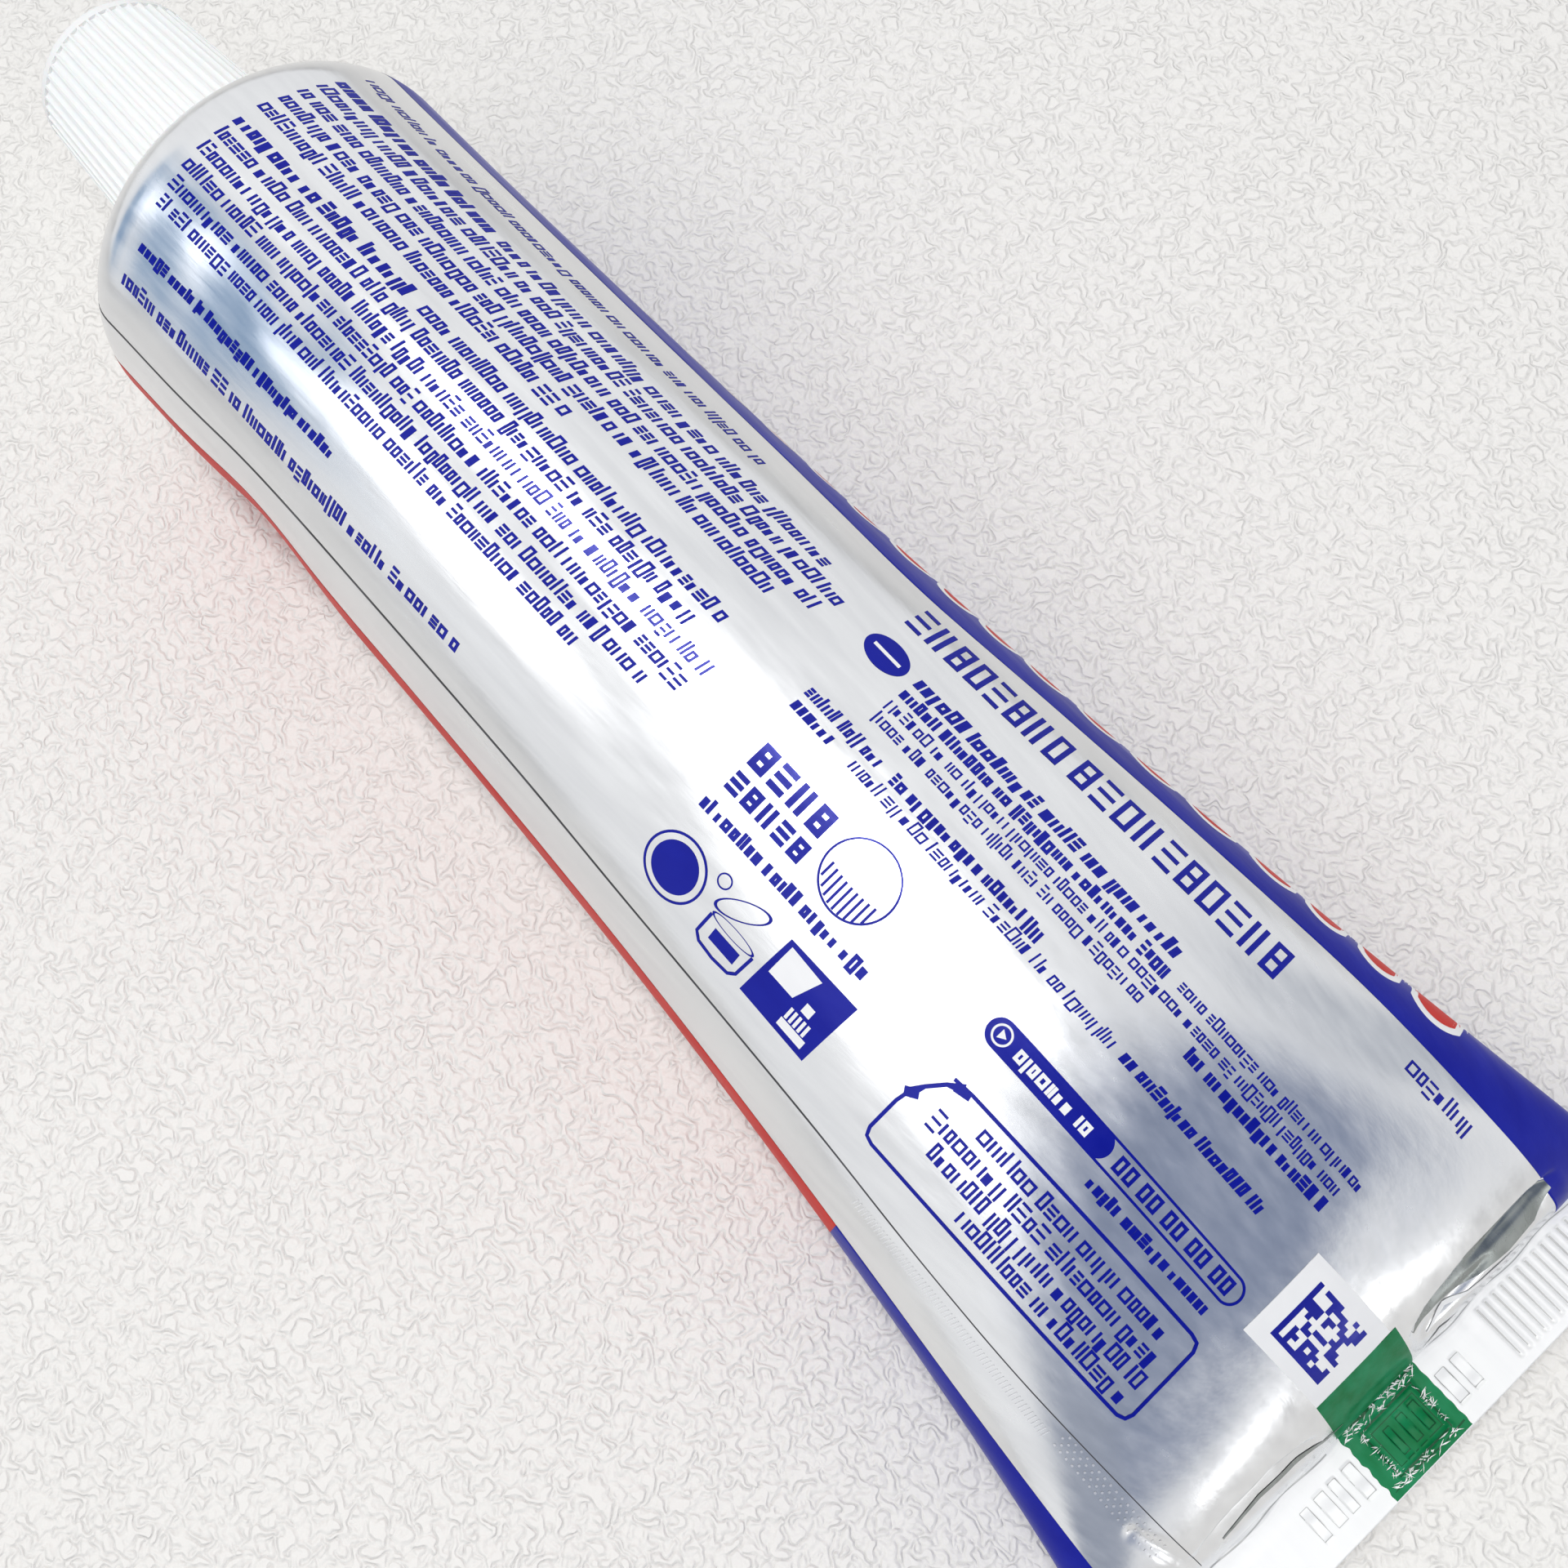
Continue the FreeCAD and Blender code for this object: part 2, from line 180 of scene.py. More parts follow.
# each crease: its two ends, its half width and its depth
CREASES = [
    ((71.9, 6.0), (71.6, 13.0), 0.28, 0.35),
    ((70.9, 12.0), (70.7, 20.0), 0.3, 0.3),
    ((72.2, -2.0), (72.4, 3.5), 0.35, 0.3),
    ((66.5, -19.5), (73.0, -17.5), 0.5, 0.3),
]


def skin_points(x, u, lift=0.0):
    """Points on the laminate, or a little above it."""
    x = np.asarray(x, float).ravel()
    u = np.asarray(u, float).ravel()
    step = 0.2
    here = sleeve_points(x, u)
    along = sleeve_points(x + step, u) - sleeve_points(x - step, u)
    round_it = sleeve_points(x, u + step) - sleeve_points(x, u - step)
    normal = np.cross(along, round_it)
    normal /= np.maximum(np.linalg.norm(normal, axis=1), 1e-9)[:, None]
    point = here - normal * (dent_depth(x, u) - lift)[:, None]
    point[:, 0] = np.clip(point[:, 0], FRONT_X + 0.02, SEAL_X)
    point[:, 2] = np.maximum(point[:, 2], 0.03 - np.clip(lift, 0, 0.02))
    return point


# meshes
def add_mesh(name, points, faces, body, material, uv=None):
    """A mesh from points in millimetres, with a material, that rides on a body."""
    mesh = bpy.data.meshes.new(name)
    mesh.from_pydata((np.asarray(points) * MM).tolist(), [], faces)
    mesh.validate()
    if uv is not None:
        layer = mesh.uv_layers.new(name="flat")
        index = np.empty(len(mesh.loops), int)
        mesh.loops.foreach_get("vertex_index", index)
        layer.data.foreach_set("uv", (np.asarray(uv)[index] * MM * 10).astype(np.float32).ravel())
    mesh.polygons.foreach_set("use_smooth", [True] * len(mesh.polygons))
    mesh.materials.append(material)
    piece = bpy.data.objects.new(name, mesh)
    bpy.context.scene.collection.objects.link(piece)
    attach(piece, body)
    return piece


def grid_faces(rows, columns, closed=False):
    """Quads of a grid of points that is numbered row by row."""
    faces = []
    for row in range(rows - 1):
        here, above = row * columns, (row + 1) * columns
        for column in range(columns if closed else columns - 1):
            after = (column + 1) % columns
            faces.append((here + column, here + after, above + after, above + column))
    return faces


# materials
def new_material(name, color, roughness, metallic=0.0):
    """A principled material, and its tree, ready for more nodes."""
    material = bpy.data.materials.new(name)
    material.use_nodes = True
    tree = material.node_tree
    shader = tree.nodes["Principled BSDF"]
    shader.inputs["Base Color"].default_value = (*color, 1)
    shader.inputs["Roughness"].default_value = roughness
    shader.inputs["Metallic"].default_value = metallic
    return material, tree, shader


def add_node(tree, kind, **values):
    """A node with some of its inputs or properties set."""
    node = tree.nodes.new(kind)
    for key, value in values.items():
        if key in node.inputs:
            node.inputs[key].default_value = value
        else:
            setattr(node, key, value)
    return node


def noise(tree, source, scale, stretch=(1, 1, 1), detail=4.0):
    """Noise over stretched coordinates. Gives its value socket."""
    mapping = add_node(tree, "ShaderNodeMapping")
    mapping.inputs["Scale"].default_value = stretch
    tree.links.new(source, mapping.inputs["Vector"])
    texture = add_node(tree, "ShaderNodeTexNoise", Scale=scale, Detail=detail)
    tree.links.new(mapping.outputs["Vector"], texture.inputs["Vector"])
    return texture.outputs["Fac"]


def spread(tree, value, low, high, start=0.3, end=0.7):
    """Maps a value from its middle range to another range."""
    node = add_node(tree, "ShaderNodeMapRange")
    node.inputs["From Min"].default_value = start
    node.inputs["From Max"].default_value = end
    node.inputs["To Min"].default_value = low
    node.inputs["To Max"].default_value = high
    tree.links.new(value, node.inputs["Value"])
    return node.outputs["Result"]


def combine(tree, operation, *values):
    """A math node over sockets and plain numbers. Gives its value socket."""
    node = add_node(tree, "ShaderNodeMath", operation=operation)
    for number, value in enumerate(values):
        if isinstance(value, float):
            node.inputs[number].default_value = value
        else:
            tree.links.new(value, node.inputs[number])
    return node.outputs[0]


# places of the colour sockets on a mix node
MIX_SHARE, MIX_FIRST, MIX_SECOND, MIX_COLOR = 0, 6, 7, 2


def tint(tree, value, first, second):
    """A colour between two colours or sockets, by a value from 0 to 1."""
    node = add_node(tree, "ShaderNodeMix", data_type="RGBA")
    tree.links.new(value, node.inputs[MIX_SHARE])
    for place, color in ((MIX_FIRST, first), (MIX_SECOND, second)):
        if isinstance(color, tuple):
            node.inputs[place].default_value = (*color, 1)
        else:
            tree.links.new(color, node.inputs[place])
    return node.outputs[MIX_COLOR]


def bump(tree, shader, heights):
    """A chain of bumps from (height socket, strength, distance in metres)."""
    last = None
    for height, strength, distance in heights:
        node = add_node(tree, "ShaderNodeBump", Strength=strength, Distance=distance)
        tree.links.new(height, node.inputs["Height"])
        if last:
            tree.links.new(last, node.inputs["Normal"])
        last = node.outputs["Normal"]
    tree.links.new(last, shader.inputs["Normal"])


def laminate_material(name, light, dark, roughness, metallic):
    """Metallic laminate: fine lines along the tube, soft patches and small scuffs."""
    material, tree, shader = new_material(name, light, roughness, metallic)
    place = add_node(tree, "ShaderNodeTexCoord").outputs["Object"]
    lines = noise(tree, place, 900, (0.09, 1, 1), 6.0)
    patches = noise(tree, place, 55, (0.6, 1, 1), 3.0)
    scuffs = noise(tree, place, 260, (0.5, 1, 1), 5.0)
    mixed = combine(tree, "ADD", spread(tree, lines, 0, 0.55), spread(tree, patches, 0, 0.45))
    tree.links.new(tint(tree, mixed, dark, light), shader.inputs["Base Color"])
    brushed = spread(tree, lines, roughness - 0.05, roughness + 0.05)
    rough = combine(tree, "ADD", brushed, spread(tree, scuffs, -0.03, 0.04))
    tree.links.new(rough, shader.inputs["Roughness"])
    bump(tree, shader, [(patches, 0.14, 0.0006), (lines, 0.16, 0.00012), (scuffs, 0.10, 0.00025)])
    return material


def ink_material(name, color, worn, roughness=0.28, metallic=0.2, bumps=1.0, level=0.3):
    """Printing ink on laminate: slightly uneven cover, glossy, with the laminate's lines."""
    material, tree, shader = new_material(name, color, roughness, metallic)
    shader.inputs["Specular IOR Level"].default_value = level
    place = add_node(tree, "ShaderNodeTexCoord").outputs["Object"]
    cover = noise(tree, place, 420, (0.6, 1, 1), 5.0)
    lines = noise(tree, place, 900, (0.09, 1, 1), 6.0)
    mixed = tint(tree, spread(tree, cover, 0, 1, 0.35, 0.75), color, worn)
    tree.links.new(mixed, shader.inputs["Base Color"])
    rough = spread(tree, lines, roughness - 0.06, roughness + 0.08)
    tree.links.new(rough, shader.inputs["Roughness"])
    bump(tree, shader, [(cover, 0.12 * bumps, 0.0003), (lines, 0.12 * bumps, 0.0001)])
    return material


def plastic_material(name, color, shade, roughness, subsurface):
    """Moulded polypropylene: faint flow marks, fine grain and a little depth."""
    material, tree, shader = new_material(name, color, roughness)
    shader.inputs["Subsurface Weight"].default_value = subsurface
    shader.inputs["Subsurface Scale"].default_value = 0.0015
    shader.inputs["Specular IOR Level"].default_value = 0.45
    place = add_node(tree, "ShaderNodeTexCoord").outputs["Object"]
    flow = noise(tree, place, 90, (0.4, 1, 1), 3.0)
    grain = noise(tree, place, 1600, (1, 1, 1), 3.0)
    mixed = tint(tree, spread(tree, flow, 0, 1), color, shade)
    tree.links.new(mixed, shader.inputs["Base Color"])
    rough = spread(tree, grain, roughness - 0.05, roughness + 0.07)
    tree.links.new(rough, shader.inputs["Roughness"])
    bump(tree, shader, [(flow, 0.12, 0.0004), (grain, 0.12, 0.00006)])
    return material


# laminates: name, light and dark colour, roughness, metallic
# inks: name, colour, worn colour, roughness, metallic, strength of bumps, specular level
# plastics: name, colour, shaded colour, roughness, subsurface weight
SILVER = laminate_material("laminate_silver", (0.84, 0.845, 0.85), (0.70, 0.705, 0.72), 0.21, 0.94)
SEAL_SILVER = laminate_material("laminate_seal", (0.89, 0.89, 0.88), (0.80, 0.80, 0.80), 0.5, 0.08)
KNURL = laminate_material("laminate_knurl", (0.88, 0.88, 0.89), (0.76, 0.76, 0.78), 0.3, 0.75)
# a dark laminate for the fold's facets: painted shade
PAINTED_FOLD_SHADE = laminate_material("laminate_fold_shade", (0.36, 0.38, 0.37), (0.20, 0.22, 0.21), 0.28, 0.9)
BLUE = ink_material("ink_blue", (0.002, 0.006, 0.27), (0.004, 0.010, 0.31), 0.2, 0.1, 1.0, 0.22)
BAND_BLUE = ink_material(
    "ink_blue_band", (0.005, 0.009, 0.28), (0.009, 0.016, 0.34), 0.34, 0.15, 1.0, 0.12
)
RED = ink_material("ink_red", (0.56, 0.034, 0.028), (0.62, 0.05, 0.04), 0.45, 0.1, 1.0, 0.06)
# a grey laminate for painted shade in the seal's grooves and along its inner edge
GROOVE_SHADE = laminate_material("laminate_groove_shade", (0.56, 0.56, 0.55), (0.38, 0.38, 0.38), 0.5, 0.2)
GREEN = ink_material("ink_green", (0.0, 0.15, 0.042), (0.02, 0.27, 0.12), 0.34, 0.0, 2.0, 0.10)
# a dark green ink for painted shade where the green is pressed
GREEN_PRESS_SHADE = ink_material(
    "ink_green_press_shade", (0.0, 0.06, 0.02), (0.0, 0.10, 0.03), 0.3, 0.0, 2.0, 0.15
)
WHITE = ink_material("ink_white", (0.86, 0.86, 0.865), (0.82, 0.82, 0.83), 0.4, 0.0)
# a dark ink for the painted shadow along the side seam
PAINTED_SEAM_SHADOW = ink_material("seam_shadow", (0.05, 0.05, 0.055), (0.11, 0.11, 0.12), 0.5, 0.3)
CAP_WHITE = plastic_material("cap_white", (0.89, 0.895, 0.885), (0.86, 0.865, 0.855), 0.36, 0.12)
NOZZLE_WHITE = plastic_material("nozzle_white", (0.84, 0.84, 0.82), (0.79, 0.79, 0.77), 0.4, 0.1)


# the sleeve's skin, with its rows closer together round the rim and near the seal
RIM_ROWS = 16
FINE_X = 64.0
rim_turn = np.linspace(math.pi / 2, 0, RIM_ROWS)
rim_x = ROUND_X - RIM_ROUND * np.sin(rim_turn)
wide_x = np.linspace(ROUND_X, FINE_X, 176)[1:]
fine_x = np.linspace(FINE_X, SEAL_X, 72)[1:]
skin_x = np.concatenate([rim_x, wide_x, fine_x])
COLUMNS = 360
skin_u = np.linspace(-HALF_GIRTH, HALF_GIRTH, COLUMNS, endpoint=False)
grid_x, grid_u = np.meshgrid(skin_x, skin_u, indexing="ij")
skin = skin_points(grid_x, grid_u)
faces = grid_faces(len(skin_x), COLUMNS, closed=True)
flat_map = np.stack([grid_x.ravel(), grid_u.ravel()], 1)
centre = len(skin)
skin = np.concatenate([skin, [(FRONT_X + 0.02, 0, AXIS_HEIGHT)]])
flat_map = np.concatenate([flat_map, [(FRONT_X, 0)]])
faces += [(centre, (c + 1) % COLUMNS, c) for c in range(COLUMNS)]
sleeve = add_mesh("sleeve_skin", skin, faces, "tube", SILVER, uv=flat_map)


# the flat seal
def seal_height(x, y):
    """Relief of the seal's upper side, below its top plane."""
    low = np.full_like(x, 0.05)
    edge = np.minimum(x - SEAL_X, SEAL_END_X - x)
    inside = (x > RIB_START_X) & (x < RIB_END_X)
    for middle in RIB_PLACES:
        low += np.where(inside, 0.26 * np.exp(-(((y - middle) / 0.2) ** 2)), 0)
    frame_x = np.minimum(np.abs(x - FRAME_START_X), np.abs(x - FRAME_END_X))
    frame_y = np.minimum(np.abs(y - FRAME_HIGH_Y), np.abs(y - FRAME_LOW_Y))
    in_frame = (x > FRAME_START_X - FRAME_MARGIN) & (x < FRAME_END_X + FRAME_MARGIN)
    in_frame &= (y > FRAME_LOW_Y - FRAME_MARGIN) & (y < FRAME_HIGH_Y + FRAME_MARGIN)
    border = np.where(in_frame, np.exp(-((np.minimum(frame_x, frame_y) / 0.16) ** 2)), 0)
    low += 0.2 * border
    for number, (place, wide) in enumerate(SEAL_MARKS):
        inner = (np.abs(y - place) < wide) & (x > 75.6) & (x < 78.6)
        low += np.where(inner, 0.14 * (0.5 + 0.5 * np.sin(x * 3.1 + number)), 0)
    low += 0.08 * np.exp(-(((x - 74.25 - 0.2 * np.sin(0.9 * y)) / 0.16) ** 2))
    crumple = 1.5 * np.clip(1.6 - np.abs(x - 74.2), 0, 1) + 0.35
    low += 0.05 * crumple * (1 + bump_noise(x * 2.2, y * 2.5, 8, 1.6)) * np.clip(edge * 2, 0, 1)
    return low


# the pressed ribs, and the pressed frame round the green field
RIB_START_X, RIB_END_X = 74.6, 79.2
RIB_PLACES = [SEAL_HALF_WIDTH - 1.1 - 0.9 * number for number in range(18)]
FRAME_START_X, FRAME_END_X = 75.0, 79.0
FRAME_LOW_Y, FRAME_HIGH_Y = -2.0, 3.4
FRAME_MARGIN = 0.2
# pressed marks: the middle of each along Y and half its width
MARKS_IN_FRAME = [(2.3, 0.35), (1.0, 0.35), (-0.4, 0.3)]
MARKS_BESIDE = [(5.6, 0.5), (7.2, 0.45), (-4.6, 0.5), (-6.2, 0.4), (-7.6, 0.5), (-9.2, 0.4)]
SEAL_MARKS = MARKS_IN_FRAME + MARKS_BESIDE
SEAL_ROWS = 60
SEAL_COLUMNS = 620
seal_x = np.linspace(SEAL_X - 0.1, SEAL_END_X - 0.04, SEAL_ROWS)
seal_y = np.linspace(-SEAL_HALF_WIDTH + 0.03, SEAL_HALF_WIDTH - 0.03, SEAL_COLUMNS)
top_x, top_y = np.meshgrid(seal_x, seal_y, indexing="ij")
top_z = SEAL_TOP - seal_height(top_x, top_y)
top = np.stack([top_x.ravel(), top_y.ravel(), top_z.ravel()], 1)
under = top.copy()
under[:, 2] = SEAL_BOTTOM + 0.02 + 0.04 * (SEAL_TOP - top[:, 2])
count = len(top)
top_faces = grid_faces(SEAL_ROWS, SEAL_COLUMNS)
under_faces = [tuple(count + v for v in reversed(f)) for f in top_faces]
numbers = np.arange(count).reshape(SEAL_ROWS, SEAL_COLUMNS)
rim = [*numbers[:, 0], *numbers[-1, 1:], *numbers[-2::-1, -1], *numbers[0, -2:0:-1]]
rim = [int(number) for number in rim]
walls = [
    (rim[i], rim[(i + 1) % len(rim)], rim[(i + 1) % len(rim)] + count, rim[i] + count)
    for i in range(len(rim))
]
seal = add_mesh(
    "seal_band",
    np.concatenate([top, under]),
    top_faces + under_faces + walls,
    "tube",
    SEAL_SILVER,
)
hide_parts("tube_body")
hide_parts("tube_body")


# printing
class Sheet:
    """Flat shapes in print points, gathered for one mesh that lies lift mm above the skin."""

    def __init__(self, name, material, lift):
        self.name = name
        self.material = material
        self.lift = lift
        self.points = []
        self.faces = []

    def patch(self, corners, along=1, across=1):
        """A four-sided patch, divided so that it follows the sleeve."""
        a, b, c, d = (np.array(p, float) for p in corners)
        first = len(self.points)
        for i in range(along + 1):
            s = i / along
            left, right = a + (b - a) * s, d + (c - d) * s
            for j in range(across + 1):
                self.points.append(left + (right - left) * j / across)
        for i in range(along):
            for j in range(across):
                p = first + i * (across + 1) + j
                self.faces.append((p, p + across + 1, p + across + 2, p + 1))

    def block(self, x0, x1, u0, u1, lean=0.0):
        """A bar from x0 to x1 and from u0 to u1, which leans as the print does."""
        shift = lean * (u1 - u0)
        corners = [(x0, u0), (x1, u0), (x1 + shift, u1), (x0 + shift, u1)]
        self.patch(corners, max(1, round(abs(x1 - x0) / 2)), max(1, round(abs(u1 - u0) / 0.8)))

    def finer(self, path, widths):
        """The same path with a point at least every 0.6 mm."""
        points, sizes = [path[0]], [widths[0]]
        for number in range(len(path) - 1):
            steps = max(1, math.ceil(np.hypot(*(path[number + 1] - path[number])) / 0.6))
            for step in range(1, steps + 1):
                share = step / steps
                points.append(path[number] * (1 - share) + path[number + 1] * share)
                sizes.append(widths[number] * (1 - share) + widths[number + 1] * share)
        return points, sizes

    def strip(self, path, widths, across=1):
        """A band along a path of print points. widths is one number, or one for each point."""
        path = [np.array(p, float) for p in path]
        if not hasattr(widths, "__len__"):
            widths = [widths] * len(path)
        path, widths = self.finer(path, widths)
        first = len(self.points)
        for number, point in enumerate(path):
            ahead = path[min(number + 1, len(path) - 1)]
            behind = path[max(number - 1, 0)]
            way = ahead - behind
            side = np.array([-way[1], way[0]]) / max(np.hypot(*way), 1e-9)
            for step in range(across + 1):
                self.points.append(point + side * widths[number] * (0.5 - step / across))
        self.quads(first, len(path), across + 1)

    def ring(self, middle, outer, inner, start=0.0, end=360.0, squeeze=1.0, turn=0.0):
        """A ring, a part of one, or a disc when inner is 0."""
        steps = max(8, int((end - start) / 7))
        layers = max(1, math.ceil((outer - inner) / 0.6))
        first = len(self.points)
        for number in range(steps + 1):
            angle = math.radians(start + (end - start) * number / steps)
            for layer in range(layers + 1):
                size = inner + (outer - inner) * layer / layers
                across, up = size * math.cos(angle), size * squeeze * math.sin(angle)
                c, s = math.cos(turn), math.sin(turn)
                self.points.append(
                    np.array([middle[0] + across * c - up * s, middle[1] + across * s + up * c])
                )
        self.quads(first, steps + 1, layers + 1)

    def quads(self, first, rows, columns):
        """Faces of a grid of points from the point numbered first."""
        for face in grid_faces(rows, columns):
            self.faces.append(tuple(first + v for v in face))

    def lobe(self, x, half, low, high):
        """A bar along the girth with round ends."""
        across = 12
        rows = max(2, math.ceil((high - low) / 0.6))
        first = len(self.points)
        for i in range(across + 1):
            off = -half + 2 * half * i / across
            round_off = half - math.sqrt(max(half**2 - off**2, 0))
            for j in range(rows + 1):
                share = j / rows
                u = (low + round_off) * (1 - share) + (high - round_off) * share
                self.points.append(np.array([x + off, u]))
        self.quads(first, across + 1, rows + 1)

    def shape(self, corners):
        """A small filled shape, fanned from its middle."""
        first = len(self.points)
        corners = [np.array(c, float) for c in corners]
        self.points.append(sum(corners) / len(corners))
        self.points.extend(corners)
        for number in range(len(corners)):
            after = (number + 1) % len(corners)
            self.faces.append((first, first + 1 + number, first + 1 + after))

    def mark(self, kind, x, low, wide, high, weight, lean):
        """A simple mark of small print: a box, a bar, a pair of bars, rungs or a full block."""
        if kind == "bar":
            self.block(x, x + weight * 1.1, low, high, lean)
        elif kind == "pair":
            self.block(x, x + weight, low, high, lean)
            self.block(x + wide - weight, x + wide, low, high, lean)
        elif kind == "rungs":
            for share in (0.0, 0.5, 1.0):
                level = low + (high - low - weight) * share
                shift = lean * (level - low)
                self.block(x + shift, x + wide + shift, level, level + weight, lean)
        elif kind == "full":
            self.block(x, x + wide * 0.7, low, low + (high - low) * 0.8, lean)
        else:
            self.block(x, x + weight, low, high, lean)
            self.block(x + wide - weight, x + wide, low, high, lean)
            for level in (low, high - weight):
                shift = lean * (level - low)
                start, end = x + weight + shift, x + wide - weight + shift
                self.block(start, end, level, level + weight, lean)

    def words(self, x0, x1, u, tall, seed, weight=0.2, lean=0.0):
        """A line of simple marks that stands for small print. No mark is a letter."""
        dice = random.Random(seed)
        kinds = ("box", "box", "pair", "bar", "rungs", "box", "full", "pair")
        x = x0
        while x < x1 - tall * 0.4:
            for _ in range(dice.randint(2, 9)):
                kind = dice.choice(kinds)
                wide = tall * (0.24 if kind == "bar" else dice.choice((0.44, 0.5, 0.56, 0.64)))
                if x + wide > x1:
                    break
                low = u - tall * 0.45
                top = low + tall * dice.choice((0.72, 0.72, 0.72, 0.98))
                if dice.random() < 0.12:
                    low -= tall * 0.22
                self.mark(kind, x, low, wide, top, weight, lean)
                x += wide + tall * 0.12
            x += tall * 0.3

    def build(self):
        """The mesh, laid on the sleeve's skin."""
        flat = np.array(self.points)
        points = skin_points(flat[:, 0], flat[:, 1], self.lift)
        on_seal = flat[:, 0] > SEAL_X
        points[on_seal, 0] = flat[on_seal, 0]
        points[on_seal, 1] = flat[on_seal, 1]
        points[on_seal, 2] = (
            SEAL_TOP - seal_height(flat[on_seal, 0], flat[on_seal, 1]) + self.lift
        )
        add_mesh(self.name, points, self.faces, "tube", self.material, uv=flat)


def boundary(x, table):
    """A smooth line through a table of (x, u)."""
    xs, us = zip(*table)
    x = np.asarray(x, float)
    value = np.zeros_like(x)
    soft = min(1.5, (xs[1] - xs[0]) / 4)
    for shift in (-2, -1, 0, 1, 2):
        value += np.interp(x + shift * soft, xs, us)
    return value / 5


# the edges of the blue band and the red field, and the line of the side seam
BAND_EDGE = [
    (-60, 18.4), (-40, 18.6), (-20, 18.4), (-6, 18.1), (3, 17.6), (8, 17.3), (13, 17.7),
    (20, 18.5), (30, 19.2), (40, 19.7), (50, 20.1), (62, 19.9), (74, 20.3),
]
RED_EDGE = [
    (-60, -24.0), (-44, -23.8), (-38, -22.6), (-33, -22.0), (-26, -22.6), (-10, -22.9),
    (10, -23.0), (30, -23.4), (50, -23.8), (74, -23.6),
]
SEAM_LINE = [
    (-58, -19.0), (-50, -18.9), (-42, -18.7), (-36, -17.9), (-28, -17.6), (0, -17.7),
    (10, -18.05), (32, -18.15), (42, -18.5), (52, -18.5), (60, -18.1), (73, -17.4),
]
# where blue takes over from red along the seam, where the fields start, and where the band
# ends under the ribbon on the front
DIVIDER_X = 37.3
FIELD_START_X = -57.0
RIBBON_U = 44.0


def field(sheet, xs, us, low, high):
    """A wide field between two edges, each a table or a number, on the skin's own grid lines."""
    xs = np.asarray(xs)
    bottoms = boundary(xs, low) if isinstance(low, list) else np.full(len(xs), float(low))
    tops = boundary(xs, high) if isinstance(high, list) else np.full(len(xs), float(high))
    us = us[(us > bottoms.min() - 0.6) & (us < tops.max() + 0.6)]
    grid = np.clip(us[None, :], bottoms[:, None], tops[:, None])
    first = len(sheet.points)
    for row, x in enumerate(xs):
        sheet.points.extend(np.array([x, u]) for u in grid[row])
    for i in range(len(xs) - 1):
        for j in range(len(us) - 1):
            cell = grid[i:i + 2, j:j + 2]
            if cell.max() - cell.min() > 0.001:
                p = first + i * len(us) + j
                sheet.faces.append((p, p + len(us), p + len(us) + 1, p + 1))


def rows_between(x0, x1):
    """The skin's rows between two places, with both ends."""
    inside = skin_x[(skin_x > x0 + 0.05) & (skin_x < x1 - 0.02)]
    return np.concatenate([[x0], inside, [x1]])


# the fields of colour that wrap round from the front
whole_u = np.concatenate([skin_u, [HALF_GIRTH]])
red = Sheet("print_red_field", RED, 0.012)
field(red, rows_between(FIELD_START_X, DIVIDER_X), skin_u, -HALF_GIRTH, RED_EDGE)
field(red, rows_between(FIELD_START_X, SEAL_X), whole_u, RIBBON_U, HALF_GIRTH)
red.build()
band = Sheet("print_blue_band", BAND_BLUE, 0.014)
field(band, rows_between(FIELD_START_X, SEAL_X), skin_u, BAND_EDGE, RIBBON_U)
field(band, rows_between(DIVIDER_X, SEAL_X), skin_u, -HALF_GIRTH, RED_EDGE)
band.build()
front = Sheet("print_front", WHITE, 0.026)
ribbon = [(-60, 43.2), (-40, 43.6), (-20, 42.6), (0, 41.6), (20, 42.0), (45, 43.4), (74, 43.8)]
ribbon_top = [(x, u + 1.6) for x, u in ribbon]
field(front, rows_between(-56.5, SEAL_X - 0.1), skin_u, ribbon, ribbon_top)
BAR_X, BAR_U, BAR_HALF = (-34.0, 24.0), -41.0, 5.0
field(front, rows_between(*BAR_X), skin_u, BAR_U - BAR_HALF, BAR_U + BAR_HALF)
front.ring((BAR_X[0], BAR_U), BAR_HALF, 0.0, 90, 270)
front.ring((BAR_X[1], BAR_U), BAR_HALF, 0.0, -90, 90)
front.build()

# a row of rounded shapes with white borders along the blue band
TIP_BORDER = 0.7
TIPS_START_X = -26.0
TIPS_END_X = 56.0
tips_white = Sheet("print_tip_borders", WHITE, 0.026)
tips_red = Sheet("print_tips", RED, 0.034)
dice = random.Random(11)
x = TIPS_START_X
while x < TIPS_END_X:
    half = dice.uniform(1.3, 2.1)
    x += half
    reach = float(boundary(x, BAND_EDGE)) + 2.6 + 0.012 * (58 - x)
    tall = dice.uniform(8.0, 9.5)
    tips_white.lobe(x, half + TIP_BORDER, reach, reach + tall)
    tips_red.lobe(x, half, reach + TIP_BORDER, reach + tall - TIP_BORDER)
    x += half + 2 * TIP_BORDER + dice.uniform(0.1, 0.5)
tips_white.build()
tips_red.build()

# small print, as plain blocks
ink = Sheet("print_blue", BLUE, 0.022)
